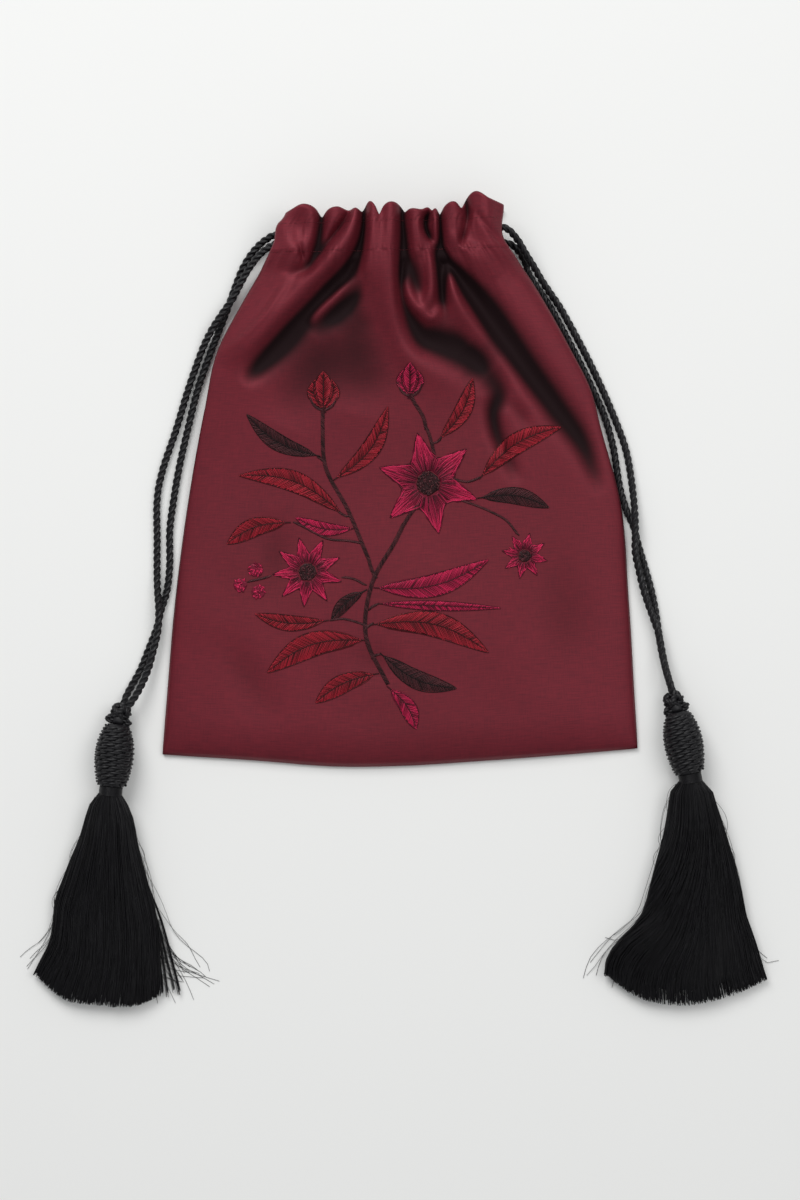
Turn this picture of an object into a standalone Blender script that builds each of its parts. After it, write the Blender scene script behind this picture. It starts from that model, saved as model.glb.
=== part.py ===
# Drawstring tapestry bag with two cords and two tassels, lying flat on its back panel.
# Frame: +X to the bag's right, +Y towards its mouth, +Z up from the surface it lies on.
# Every length is in metres; outline and fold tables are in millimetres and scaled by MM.
from math import cos, pi, radians, sin, sqrt

import bmesh
import bpy
import numpy as np
from mathutils import Matrix, Vector

MM = 0.001

# Fit between neighbouring solids
GAP = 0.3 * MM

# Cloth, in the stack that the gathered mouth makes from the floor up
CLOTH = 0.7 * MM
CORD_DIAMETER = 3.8 * MM
BACK_PLEAT = 4.0 * MM
MOUTH_GAP = 4.8 * MM
FRILL_LAYERS = 2.6 * MM
SEAM_BY_HEM = 1.4 * MM
SEAM_BY_MOUTH = 10.5 * MM

CORD_R = CORD_DIAMETER / 2
BACK_LOW = CLOTH / 2
BACK_CORD_Z = BACK_LOW + BACK_PLEAT + CLOTH / 2 + GAP + CORD_R
BACK_FACING_Z = BACK_CORD_Z + CORD_R + GAP + CLOTH / 2
FRONT_FACING_Z = BACK_FACING_Z + CLOTH + MOUTH_GAP
FRONT_CORD_Z = FRONT_FACING_Z + CLOTH / 2 + GAP + CORD_R
FRONT_LOW = FRONT_CORD_Z + CORD_R + GAP + CLOTH / 2

# Panel outline, in millimetres: x of each side edge by y, y of hem and mouth by x
LEFT_EDGE = [(-77, -118.5), (-50, -116.3), (0, -112), (50, -105.3), (95, -97), (125, -90),
             (145, -79.5), (165, -68), (177, -62), (185, -60.5), (190.5, -56.5)]
RIGHT_EDGE = [(-74, 118.5), (-50, 117), (0, 114), (50, 109.5), (85, 100), (105, 94.5),
              (125, 84.3), (145, 73.2), (160, 64), (170, 57), (177.5, 51.5), (195, 51)]
HEM = [(-118.5, -77), (-77.5, -79.5), (-27.5, -83), (2.5, -82.5), (42.5, -80),
       (82.5, -77), (118.5, -74)]
MOUTH = [(-60, 189.5), (-54, 192), (-47, 194), (-38, 189), (-31, 192.5), (-22, 191.5),
         (-15, 195.5), (-10, 189.8), (-4, 195), (2, 191.5), (12, 192), (20, 190.5),
         (26, 194), (31, 194), (36, 200), (44, 197), (51, 195)]

# Heights along the cloth: hem, casing's lower and upper stitch lines, mouth edge
LEVEL_LEFT = [(0, -77), (1, 171.5), (2, 185.5), (3, 190.5)]
LEVEL_RIGHT = [(0, -74), (1, 174), (2, 188.5), (3, 195)]
TOP_LEVEL = 3
FACING_INSET = 0.19

# Height of the front panel's middle above the floor, by y
CROWN = [(-85, 8), (0, 8.6), (60, 9.4), (95, 12), (125, 16.5), (150, 21), (166, 24.2), (200, 25)]
HEM_ROUND = 20
BACK_RISE_FROM = 0.8
SIDE_ROUND_POWER = 5
EDGE_LIFT_BY_MOUTH = 0.8

# Share of the body's length where the side seams open for the cords, and how fast
SEAM_OPENS_AT = 0.955
SEAM_OPENS_OVER = 0.06
CASING_FLOOR_FROM = 0.93

# The facing turns down inside the mouth between these levels past the mouth edge
FACING_DROP_FROM = 1.25
FACING_DROP_OVER = 0.65

# Least height of the front panel above the back one, low on the body
LEAST_FILLING = 2.4

# Folds of the front panel: points (x, y, half width, height) in millimetres, ridges up and
# valleys down, each from the mouth towards the hem
FOLDS = [
    # corner lobe on the left, and the crease that wraps under it
    [(-50, 197, 9, 4), (-49.5, 185, 9, 4), (-51, 172.5, 8, 3), (-55, 162, 7, 0)],
    [(-38, 197, 2.6, -5), (-39, 182.5, 3.2, -5), (-42, 172.5, 3.2, -5), (-46, 165, 3.4, -4.5),
     (-53, 163, 3, -2), (-59, 166, 3, 0)],
    # long ridge that fans out to the left edge, with the deep valley beside it
    [(-28, 197, 4, 4.5), (-26.5, 181, 5, 5), (-32, 169, 5, 5), (-41, 159, 5.5, 5), (-50, 151, 6, 4.5),
     (-62.5, 141, 6, 3.5), (-75, 130, 6, 2), (-87, 123, 6, 0)],
    [(-17.5, 197, 2.6, -5), (-18, 180, 4, -5.5), (-25, 165, 5.5, -6), (-41.5, 150, 6, -6),
     (-58.5, 129, 6, -4.5), (-72, 114, 5, -2), (-80, 105, 5, 0)],
    [(-21.5, 160, 4, 0), (-30, 150, 4, -3), (-41, 141, 4, -3.5), (-38.5, 131, 5, 0)],
    # broad middle column, curling off to the right at its foot
    [(-6, 199, 4.5, 4.5), (-7.5, 185, 6, 5), (-10, 172, 7, 4.5), (-7.5, 158, 7, 4.5), (-4, 146, 7, 4),
     (1.5, 132.5, 8, 3), (10, 120, 8, 2), (21, 113, 8, 0)],
    [(-12, 150, 9, 0), (-20, 136, 10, -3), (-28, 124, 10, 0)],
    [(2, 196, 2.6, -5), (2.5, 180, 2.8, -5), (3, 166.5, 2.8, -5), (1.5, 155, 2.8, -4.5),
     (4, 140, 3, -3.5), (6.5, 126, 4, 0)],
    # flat lobe right of the middle, ending in a small swag
    [(8, 196, 4.5, 3.5), (8.5, 182, 4.8, 3.5), (10.5, 170, 5, 4), (12.5, 157, 5, 4.5), (14.5, 147, 5, 0)],
    [(0.5, 159, 2.6, 0), (5, 148.5, 2.6, 2.5), (10, 142.5, 2.6, 3), (16.5, 139.5, 2.6, 2.5),
     (21.5, 147, 2.6, 0)],
    [(18.5, 196, 2.6, -5), (20, 175, 3.2, -5), (21.5, 160, 3.2, -4.5), (22.5, 145, 4, 0)],
    # narrow lobe whose ridge runs beside the longest valley
    [(24.5, 197, 3.4, 4.5), (26, 182, 3.6, 4.5), (26, 170, 4, 4.5), (28, 157, 5, 3.5), (32, 146, 6, 3.2),
     (41.5, 133, 7, 3), (51.5, 121, 7, 2.5), (61.5, 105, 7, 1.5), (72, 88, 7, 0)],
    [(32, 198, 2.2, -5), (30.5, 180, 2.8, -4.5), (30, 169, 3.4, -5), (36, 156, 5, -6),
     (46, 144, 6.5, -6.5), (57, 130, 7, -6), (67, 115, 7, -5), (80, 99, 7, -4), (91, 83, 6, -3),
     (98, 64, 5, -1.5), (103, 50, 5, 0)],
    # corner lobe on the right
    [(42, 202, 6, 5), (43, 187, 6.5, 5), (46, 177, 7, 3.5), (54, 169, 7, 2), (60, 163, 7, 0)],
    # soft bowl below the mouth and the crease that runs out of it
    [(20, 139, 7, 0), (30, 127.5, 8, -3), (41.5, 117, 7.5, -3.2), (50, 104, 5.5, -3), (48.5, 82, 4, -2.2),
     (54, 69, 4, -1.4), (59, 58, 4, 0)],
    [(54, 100, 3.5, 0), (60, 92, 3.5, -1.5), (65, 83, 3.5, 0)],
    # slack waves low on the body
    [(-92, -14, 10, 0), (-75, -40, 10, -1.1), (-58, -67, 10, 0)],
    [(-67, 45, 10, 0), (-62, 20, 10, -1.3), (-67, -8, 10, 0)],
    [(-27, -22, 9, 0), (-12, -32, 9, -1), (4, -34, 9, 0)],
    [(70, 30, 14, 0), (82, -10, 16, -1.2), (74, -50, 14, 0)],
]

# Panel meshes: columns across, and the levels of the rows up the outside and down the facing
FRONT_COLUMNS = 34
BACK_COLUMNS = 21
FRONT_BODY_ROWS = 17
BACK_BODY_ROWS = 12
BACK_WAVES = 7
UPPER_LEVELS = [1, 1.5, 2, 2.5, 3, 3.5, 4, 5, 6]

# Embroidery
THREAD_RELIEF = 0.5 * MM
CUTTER_REACH = 30 * MM

# Tassels
HEAD_LENGTH = 30.5 * MM
HEAD_RADIUS = 10 * MM
HEAD_TOP_RADIUS = 5.6 * MM
HEAD_FOOT_RADIUS = 6.9 * MM
WRAP_CORD = 2.0 * MM
WRAP_STARTS = 8
WRAP_QUARTERS = 22
HEAD_SHARES = (0, 0.05, 0.13, 0.24, 0.38, 0.5, 0.62, 0.76, 0.88, 0.95, 1)
STEM_RADIUS = 2.4 * MM
STEM_LENGTH = 9 * MM
COLLAR_RADIUS = 4.6 * MM
COLLAR_START = 0.6 * MM
BINDING_THICKNESS = 1.0 * MM
BINDING_LENGTH = 3.6 * MM
SKIRT_SIDES = 28
KNOT_RADIUS = 5.2 * MM
KNOT_STRAND = 1.9 * MM
KNOT_DIP = radians(14)
SILK_BLACK = "16151A"


def hex_colour(code):
    """Linear colour from an sRGB hex code."""
    channels = [int(code[i:i + 2], 16) / 255 for i in (0, 2, 4)]
    linear = [c / 12.92 if c <= 0.04045 else ((c + 0.055) / 1.055) ** 2.4 for c in channels]
    return (*linear, 1)


def material(name, colour, roughness, metallic=0):
    """One Principled material."""
    made = bpy.data.materials.get(name) or bpy.data.materials.new(name)
    made.use_nodes = True
    shader = made.node_tree.nodes["Principled BSDF"]
    shader.inputs["Base Color"].default_value = hex_colour(colour)
    shader.inputs["Roughness"].default_value = roughness
    shader.inputs["Metallic"].default_value = metallic
    return made


def collection(name):
    """A collection linked to the scene."""
    made = bpy.data.collections.new(name)
    bpy.context.scene.collection.children.link(made)
    return made


def add_mesh(name, bm, home, surface):
    """Turn a bmesh into an object with one material, in one collection."""
    mesh = bpy.data.meshes.new(name)
    bm.to_mesh(mesh)
    bm.free()
    made = bpy.data.objects.new(name, mesh)
    mesh.materials.append(surface)
    home.objects.link(made)
    return made


def follow(table, at):
    """Smooth curve through a table of (position, value) pairs, read at many positions."""
    knots = np.array([row[0] for row in table], float)
    values = np.array([row[1] for row in table], float)
    slopes = np.gradient(values, knots)
    at = np.clip(np.asarray(at, float), knots[0], knots[-1])
    i = np.clip(np.searchsorted(knots, at) - 1, 0, len(knots) - 2)
    span = knots[i + 1] - knots[i]
    t = (at - knots[i]) / span
    return ((1 + 2 * t) * (1 - t) ** 2 * values[i] + t * (1 - t) ** 2 * span * slopes[i]
            + t * t * (3 - 2 * t) * values[i + 1] + t * t * (t - 1) * span * slopes[i + 1])


def straight(table, at):
    """Straight lines through a table of (position, value) pairs."""
    return np.interp(at, [row[0] for row in table], [row[1] for row in table])


def ease(t):
    """Smooth step from 0 to 1."""
    t = np.clip(t, 0, 1)
    return t * t * (3 - 2 * t)


def soft_max(a, b, blend=1.0):
    """The larger of two heights, with a rounded change-over."""
    return (a + b + np.sqrt((a - b) ** 2 + blend ** 2)) / 2


def smooth_path(points, steps):
    """Catmull-Rom curve through rows of numbers, with so many steps for each pair of points."""
    rows = np.array(points, float)
    padded = np.vstack([2 * rows[0] - rows[1], rows, 2 * rows[-1] - rows[-2]])
    out = []
    for i in range(len(rows) - 1):
        a, b, c, d = padded[i:i + 4]
        for k in range(steps):
            t = k / steps
            out.append(0.5 * (2 * b + (c - a) * t + (2 * a - 5 * b + 4 * c - d) * t ** 2
                              + (3 * b - a - 3 * c + d) * t ** 3))
    out.append(rows[-1])
    return np.array(out)


def fold_height(points, x, y, steps=5):
    """Height that one fold adds at many places: a rounded section along a curved spine."""
    spine = smooth_path(points, steps)
    best = np.full(x.shape, 1e9)
    wide = np.ones(x.shape)
    high = np.zeros(x.shape)
    for a, b in zip(spine[:-1], spine[1:]):
        run = b[:2] - a[:2]
        t = np.clip(((x - a[0]) * run[0] + (y - a[1]) * run[1]) / (run @ run), 0, 1)
        away = (x - a[0] - t * run[0]) ** 2 + (y - a[1] - t * run[1]) ** 2
        nearer = away < best
        best = np.where(nearer, away, best)
        wide = np.where(nearer, a[2] + t * (b[2] - a[2]), wide)
        high = np.where(nearer, a[3] + t * (b[3] - a[3]), high)
    return high * np.exp(-best / wide ** 2)


def panel_plan(u, level):
    """x and y in millimetres of a panel's point, from its place across and along the cloth."""
    outer = outer_level(level)
    y_left = straight(LEVEL_LEFT, outer)
    y_right = straight(LEVEL_RIGHT, outer)
    inset = FACING_INSET * ease(level - TOP_LEVEL - 1) * (level > TOP_LEVEL + 1)
    across = (u * (1 - inset) + 1) / 2
    x_left = follow(LEFT_EDGE, y_left)
    x_right = follow(RIGHT_EDGE, y_right)
    x = x_left + (x_right - x_left) * across
    y = y_left + (y_right - y_left) * across
    hem_shift = follow(HEM, x) - (LEVEL_LEFT[0][1] + (LEVEL_RIGHT[0][1] - LEVEL_LEFT[0][1]) * across)
    top_shift = follow(MOUTH, x) - (LEVEL_LEFT[-1][1] + (LEVEL_RIGHT[-1][1] - LEVEL_LEFT[-1][1]) * across)
    y = y + hem_shift * np.clip(1 - outer, 0, 1) ** 4 + top_shift * ease(outer - 2)
    y = y + 0.6 * sin_bump(level)
    return x, y


def seam_opening(level):
    """0 where front and back are seamed together, 1 where they part beside the mouth."""
    return ease((level - SEAM_OPENS_AT) / SEAM_OPENS_OVER)


def facing_drop(level):
    """0 at the rolled mouth edge, 1 where the facing lies against its cord."""
    return ease((level - TOP_LEVEL - FACING_DROP_FROM) / FACING_DROP_OVER)


def outer_level(level):
    """The level on the outer layer that a place on the facing lies behind."""
    return np.where(level > TOP_LEVEL + 1, 2 * TOP_LEVEL + 1 - level, np.minimum(level, TOP_LEVEL))


def sin_bump(level):
    """1 halfway over the rolled mouth edge, 0 away from it."""
    return np.sin(pi * np.clip(level - TOP_LEVEL, 0, 1))


def seam_height(y):
    """Height in millimetres of the side seam above the floor."""
    return SEAM_BY_HEM / MM + (SEAM_BY_MOUTH - SEAM_BY_HEM) / MM * ease((y - 10) / 150)


def side_blend(u, power):
    """Rounded section across the bag: 1 in the middle, 0 at the side seams."""
    return np.sqrt(np.clip(1 - np.abs(u) ** power, 0, 1))


def front_outer(u, level, x, y):
    """Height in millimetres of the front panel's outer layer."""
    opened = seam_opening(level)
    seam = seam_height(y) + (CLOTH + GAP) / MM / 2
    edge = seam + (FRONT_LOW / MM + EDGE_LIFT_BY_MOUTH - seam) * opened
    rise = np.clip((y - follow(HEM, x)) / HEM_ROUND, 0, 1)
    lift = side_blend(u, SIDE_ROUND_POWER) * np.sqrt(np.clip(1 - (1 - rise) ** 2, 0, 1))
    z = edge + (follow(CROWN, y) - edge) * lift
    calm = ease(1.15 * lift)
    folds = sum(fold_height(points, x, y) for points in FOLDS)
    z = z + folds * calm
    rising = ease((level - CASING_FLOOR_FROM) / SEAM_OPENS_OVER)
    floor = LEAST_FILLING + (FRONT_LOW / MM - LEAST_FILLING) * rising
    return np.where(calm > 0.3, soft_max(z, np.minimum(floor, edge + 40 * lift), 0.6), z)


def front_point(u, level):
    """The front panel's centre surface, in metres: outside up to the mouth, then the facing."""
    x, y = panel_plan(u, level)
    outer = front_outer(u, outer_level(level), x, y)
    layers = FRILL_LAYERS / MM
    frill = outer - layers * np.clip(level - TOP_LEVEL, 0, 1)
    facing = frill + facing_drop(level) * (FRONT_FACING_Z / MM - frill)
    return x * MM, y * MM, facing * MM


def back_point(u, level):
    """The back panel's centre surface, in metres: flat on the floor, gathered at the mouth."""
    x, y = panel_plan(u, level)
    opened = seam_opening(outer_level(level))
    low = BACK_LOW / MM
    seam = seam_height(y) - (CLOTH + GAP) / MM / 2
    rise = np.clip((np.abs(u) - BACK_RISE_FROM) / (1 - BACK_RISE_FROM), 0, 1) ** 2
    hem = np.clip(1 - (y - follow(HEM, x)) / (HEM_ROUND / 2), 0, 1) ** 2
    waves = BACK_PLEAT / MM * (0.5 - 0.5 * np.cos(BACK_WAVES * pi * (u + 1))) * ease((y - 118) / 50)
    z = low + (seam - low) * np.maximum(rise, hem) * (1 - opened) + waves * (1 - rise * (1 - opened))
    frill = z + FRILL_LAYERS / MM * np.clip(level - TOP_LEVEL, 0, 1)
    facing = frill + facing_drop(level) * (BACK_FACING_Z / MM - frill)
    return x * MM, y * MM, facing * MM


def cloth_grid(place, columns, levels, flip):
    """A grid bent to a panel's centre surface, open at its edges."""
    bm = bmesh.new()
    bmesh.ops.create_grid(bm, x_segments=columns, y_segments=len(levels) - 1, size=1)
    u = np.array([v.co.x for v in bm.verts])
    row = np.rint((np.array([v.co.y for v in bm.verts]) + 1) / 2 * (len(levels) - 1)).astype(int)
    x, y, z = place(u, np.array(levels)[row])
    for v, px, py, pz in zip(bm.verts, x, y, z):
        v.co = (px, py, pz)
    if flip:
        bmesh.ops.reverse_faces(bm, faces=bm.faces)
    return bm


def thicken(target, thickness, offset):
    """Give an open surface its thickness."""
    shell = target.modifiers.new("thickness", "SOLIDIFY")
    shell.thickness = thickness
    shell.offset = offset
    return shell


def body_levels(rows):
    """Levels from the hem to the casing, closer together near the hem and the casing."""
    steps = np.linspace(0, 1, rows + 1)[:-1]
    return list(0.35 * steps + 0.65 * np.sin(steps * pi / 2))


def build_panels(home, cloth):
    """Front and back panels, each one piece of cloth folded over at the mouth."""
    front_levels = body_levels(FRONT_BODY_ROWS) + UPPER_LEVELS
    front = add_mesh("front_panel", cloth_grid(front_point, FRONT_COLUMNS, front_levels, False),
                     home, cloth)
    thicken(front, CLOTH, 0)
    back_levels = body_levels(BACK_BODY_ROWS) + UPPER_LEVELS
    back = add_mesh("back_panel", cloth_grid(back_point, BACK_COLUMNS, back_levels, True),
                    home, cloth)
    thicken(back, CLOTH, 0)


# Cord routes, in millimetres: x, y and height. Each cord leaves its tassel's knot, enters the
# back casing, turns round at the far end and comes back through the front casing.
BACK_Z = BACK_CORD_Z / MM
FRONT_Z = FRONT_CORD_Z / MM
LEFT_ROUTE = [
    (-137.8, -52.2, 6.1), (-136.7, -48.6, 4.5), (-134.3, -43.5, 2.6), (-129.7, -35, 1.95),
    (-125.7, -25, 1.95),
    (-121.5, -14, 1.95), (-119.3, -5, 1.95), (-116.3, 5, 1.95), (-115, 18, 1.95),
    (-115, 34, 1.95), (-113.5, 47, 1.95), (-110.3, 66, 1.95), (-106, 85, 1.95),
    (-101, 105, 1.95), (-94, 125, 1.95), (-87, 143, 1.95), (-82, 157, 1.95),
    (-78, 166.5, 2.6), (-72.5, 174.5, 4.4), (-66, 180, 6.2), (-59, 182, BACK_Z),
    (-30, 182.5, BACK_Z), (0, 182.5, BACK_Z), (25, 182.5, BACK_Z), (41, 182.5, BACK_Z),
    (45.8, 181.3, 8.6), (47.6, 179.8, 12.2), (45.8, 178.2, 15.8), (41, 177, FRONT_Z),
    (25, 176.8, FRONT_Z), (0, 176.5, FRONT_Z), (-30, 176.5, FRONT_Z), (-57, 176.5, FRONT_Z),
    (-63.5, 175.5, 16.6), (-69.5, 171.5, 13.6), (-75, 165, 9.6), (-79.5, 157.5, 7.0),
    (-83.5, 150, 6.1), (-89, 142, 6.1), (-94.2, 134, 5.4), (-98.7, 125, 2.6),
    (-105.8, 105, 1.95), (-111.8, 85, 1.95), (-118.5, 65, 1.95), (-121.3, 50, 1.95),
    (-121.3, 30, 1.95), (-121.3, 15, 2.4), (-120.9, 5, 4.4), (-120.2, -5, 6.1),
    (-120.6, -15, 6.1), (-122.9, -25, 5.6), (-125.6, -35, 6.3), (-129.7, -44.5, 8.4),
    (-134.4, -52, 9.6)]
RIGHT_ROUTE = [
    (135.7, -45.7, 5.8), (134.7, -42, 4.3), (132.9, -35, 2.4), (130.5, -25, 1.95), (129, -15, 1.95),
    (127.5, -5, 1.95), (125.2, 6, 1.95), (121.5, 19, 1.95), (118.6, 29, 1.95),
    (116.5, 37, 1.95), (113, 45, 1.95), (110, 55, 1.95), (108.3, 65, 1.95),
    (106.7, 75, 1.95), (104.2, 85, 1.95), (101, 94.5, 1.95), (96.5, 104.5, 1.95),
    (91.8, 114.5, 1.95), (86.7, 124.5, 1.95), (76, 144.5, 1.95), (65, 161.5, 2.4),
    (62.5, 168.5, 3.2), (58.5, 174.5, 4.8), (51.5, 178, BACK_Z), (30, 178, BACK_Z),
    (0, 178, BACK_Z), (-30, 178, BACK_Z), (-51.5, 177.6, BACK_Z), (-56.2, 178.6, 8.6),
    (-58, 180, 12.2), (-56.2, 181.2, 15.8), (-51.5, 182, FRONT_Z), (-30, 182, FRONT_Z),
    (0, 182, FRONT_Z), (30, 182.8, FRONT_Z), (46, 184, FRONT_Z), (52.5, 184, 16.8),
    (58, 179, 13.6), (62.5, 172, 10.4), (66.8, 165.5, 7.6), (70.8, 159, 5.4),
    (75, 153, 3.6), (80.8, 144.5, 2.2), (91.7, 124.5, 1.95), (101.3, 104.5, 1.95),
    (109, 86, 1.95), (113, 74, 1.95), (115.5, 60, 2.6), (117, 45, 4.6),
    (117.3, 35, 6.1), (117.2, 24, 6.0), (119.3, 14, 4.6), (121.8, 4, 4.4),
    (125.5, -7, 5.6), (128.6, -16, 6.1), (130.4, -25, 7.2), (132, -34, 10),
    (134, -41, 11.6), (135.3, -45.2, 10.9)]


def cord(name, route, home, surface):
    """One drawstring as a plain tube along its whole route."""
    points = smooth_path(route, 2)
    keep = [points[0]]
    for k, point in enumerate(points[1:-1], 1):
        bend = np.linalg.norm(points[k + 1] - 2 * point + points[k - 1])
        if np.linalg.norm(point - keep[-1]) > (2.2 if bend > 0.9 else 8.5):
            keep.append(point)
    keep.append(points[-1])
    line = bpy.data.curves.new(name, "CURVE")
    line.dimensions = "3D"
    line.bevel_depth = CORD_R
    line.bevel_resolution = 2
    line.use_fill_caps = True
    strand = line.splines.new("POLY")
    strand.points.add(len(keep) - 1)
    for node, point in zip(strand.points, keep):
        node.co = (*(point * MM), 1)
    line.materials.append(surface)
    made = bpy.data.objects.new(name, line)
    home.objects.link(made)


def ring_skin(bm, rings):
    """Skin over a row of closed rings, capped at both ends."""
    loops = [[bm.verts.new(p) for p in ring] for ring in rings]
    for a, b in zip(loops[:-1], loops[1:]):
        for k in range(len(a)):
            n = (k + 1) % len(a)
            bm.faces.new((a[k], a[n], b[n], b[k]))
    bm.faces.new(list(reversed(loops[0])))
    bm.faces.new(loops[-1])
    bmesh.ops.recalc_face_normals(bm, faces=bm.faces)


def head_radius(t):
    """Outer radius of a tassel head's core at a share of its length from the knot."""
    end = HEAD_TOP_RADIUS + (HEAD_FOOT_RADIUS - HEAD_TOP_RADIUS) * t - WRAP_CORD / 2
    belly = HEAD_RADIUS - WRAP_CORD - GAP
    return end + (belly - end) * sin(pi * t) ** 0.8


def turned(name, profile, steps, home, surface, pose):
    """A profile of (radius, along) points turned about the tassel's own axis."""
    bm = bmesh.new()
    points = [bm.verts.new((radius, 0, -along)) for radius, along in profile]
    for a, b in zip(points[:-1], points[1:]):
        bm.edges.new((a, b))
    made = add_mesh(name, bm, home, surface)
    spin = made.modifiers.new("turn", "SCREW")
    spin.steps = steps
    spin.render_steps = steps
    spin.use_merge_vertices = True
    spin.merge_threshold = 0.00001
    made.matrix_world = pose
    return made


def tassel_mould(name, home, surface, pose):
    """Turned wooden core of the head, with the stem that the skirt is tied to."""
    outer = [(head_radius(t), t * HEAD_LENGTH) for t in HEAD_SHARES]
    stem_end = HEAD_LENGTH + STEM_LENGTH
    profile = [(0, 0)] + outer + [(STEM_RADIUS, HEAD_LENGTH), (STEM_RADIUS, stem_end), (0, stem_end)]
    turned(name, profile, 20, home, surface, pose)


def wound_ring(radius, along, sides, turn):
    """One ring of a sleeve about the tassel's axis, every other point raised if two radii are given."""
    low, high = radius
    ring = []
    for i in range(sides):
        angle = 2 * pi * i / sides + turn
        r = high if i % 2 else low
        ring.append((r * cos(angle), r * sin(angle), -along))
    return ring


def tassel_winding(name, home, surface, pose):
    """Sleeve of slanting cord turns wound round the head's core."""
    sides = 2 * WRAP_STARTS
    end_turn = -WRAP_QUARTERS * 2 * pi / sides
    rows = WRAP_QUARTERS
    rings = []
    for k in range(rows + 1):
        t = k / rows
        core = head_radius(t) + GAP
        high = WRAP_CORD * (0.55 + 0.45 * sqrt(max(0, 1 - (2 * t - 1) ** 8)))
        radii = (core + 0.5 * WRAP_CORD, core + high)
        rings.append(wound_ring(radii, t * HEAD_LENGTH, sides, end_turn * t))
    for t in reversed(HEAD_SHARES):
        core = (head_radius(t) + GAP) / cos(pi / sides)
        rings.append(wound_ring((core, core), t * HEAD_LENGTH, sides, end_turn))
    bm = bmesh.new()
    loops = [[bm.verts.new(p) for p in ring] for ring in rings]
    shift = -WRAP_QUARTERS % sides
    closing = loops[0][shift:] + loops[0][:shift]
    for a, b in zip(loops, loops[1:] + [closing]):
        for k in range(sides):
            n = (k + 1) % sides
            bm.faces.new((a[k], a[n], b[n], b[k]))
    bmesh.ops.recalc_face_normals(bm, faces=bm.faces)
    made = add_mesh(name, bm, home, surface)
    made.matrix_world = pose


def neck_binding(name, home, surface, pose):
    """Ring of fine thread that ties the skirt to the stem."""
    start = HEAD_LENGTH + GAP * 2
    inner = COLLAR_RADIUS + GAP
    outer = COLLAR_RADIUS + BINDING_THICKNESS
    end = start + BINDING_LENGTH
    profile = [(inner, start), (outer, start), (outer + 0.2 * MM, (start + end) / 2), (outer, end),
               (inner, end), (inner, start)]
    turned(name, profile, 24, home, surface, pose)


def knot(name, home, surface, pose):
    """Lumpy knot of the doubled cord, with one ear each side next to the head."""
    lumps = []
    for along, tilt, major in ((5.2, 20, 3.5), (7.6, -20, 3.4)):
        bpy.ops.mesh.primitive_torus_add(major_segments=12, minor_segments=6,
                                         major_radius=major * MM, minor_radius=KNOT_STRAND)
        lumps.append((bpy.context.object, Matrix.Translation((0, 0, along * MM))
                      @ Matrix.Rotation(radians(tilt), 4, "Y")))
    bpy.ops.mesh.primitive_torus_add(major_segments=12, minor_segments=6,
                                     major_radius=2.4 * MM, minor_radius=1.5 * MM)
    ears = bpy.context.object
    lumps.append((ears, Matrix.Translation((0, 0, 2.7 * MM)) @ Matrix.Diagonal((1.5, 1, 0.62, 1))
                  @ Matrix.Rotation(pi / 2, 4, "X")))
    bm = bmesh.new()
    bmesh.ops.create_uvsphere(bm, u_segments=12, v_segments=8, radius=KNOT_RADIUS)
    bmesh.ops.scale(bm, vec=(0.85, 0.85, 1), verts=bm.verts)
    bmesh.ops.translate(bm, vec=(0, 0, KNOT_RADIUS + 0.1 * MM), verts=bm.verts)
    made = add_mesh(name, bm, home, surface)
    made.matrix_world = pose
    for lump, place in lumps:
        for old in list(lump.users_collection):
            old.objects.unlink(lump)
        guides.objects.link(lump)
        lump.hide_render = True
        lump.display_type = "WIRE"
        lump.name = name + "_lump"
        lump.matrix_world = pose @ place
        union = made.modifiers.new("strand", "BOOLEAN")
        union.operation = "UNION"
        union.object = lump
    return made


def skirt(name, home, surface, neck, tilt, rows, ends, floor_heights):
    """Bundle of threads from the collar to the brushed-out ends, lying on the floor.

    rows: (share of the length, centre x, half width); ends: length by place across;
    floor_heights: (share, centre height, half height), all in millimetres.
    """
    bore = STEM_RADIUS + GAP
    rings = []
    for depth in (STEM_LENGTH + GAP * 2, COLLAR_START):
        rings.append([Vector((bore * cos(2 * pi * i / SKIRT_SIDES), -depth,
                              bore * sin(2 * pi * i / SKIRT_SIDES))) for i in range(SKIRT_SIDES)])
    for depth in (COLLAR_START, 2 * COLLAR_START + BINDING_LENGTH):
        rings.append([Vector((COLLAR_RADIUS * cos(2 * pi * i / SKIRT_SIDES), -depth,
                              COLLAR_RADIUS * sin(2 * pi * i / SKIRT_SIDES))) for i in range(SKIRT_SIDES)])
    turn = Matrix.Rotation(tilt, 4, "Z")
    rings = [[turn @ p + neck for p in ring] for ring in rings]
    for share, centre, half in rows:
        centre_z = float(follow([(r[0], r[1]) for r in floor_heights], share))
        half_z = float(follow([(r[0], r[2]) for r in floor_heights], share))
        ring = []
        for i in range(SKIRT_SIDES):
            angle = 2 * pi * i / SKIRT_SIDES
            across = cos(angle)
            length = float(follow(ends, across)) * share
            rib = 1 + 0.05 * (i % 2)
            ring.append(Vector((neck.x + (centre + half * across) * MM, neck.y - length * MM,
                                max(0, centre_z + half_z * sin(angle) * rib) * MM)))
        rings.append(ring)
    bm = bmesh.new()
    ring_skin(bm, rings)
    add_mesh(name, bm, home, surface)


def lying(place, tilt, dip=0.0):
    """Pose of a piece whose own +Z points up the tassel, turned by tilt and dipped at its upper end."""
    laid = Matrix.Rotation(-pi / 2 - dip, 4, "X")
    return Matrix.Translation(place) @ Matrix.Rotation(tilt, 4, "Z") @ laid


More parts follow.
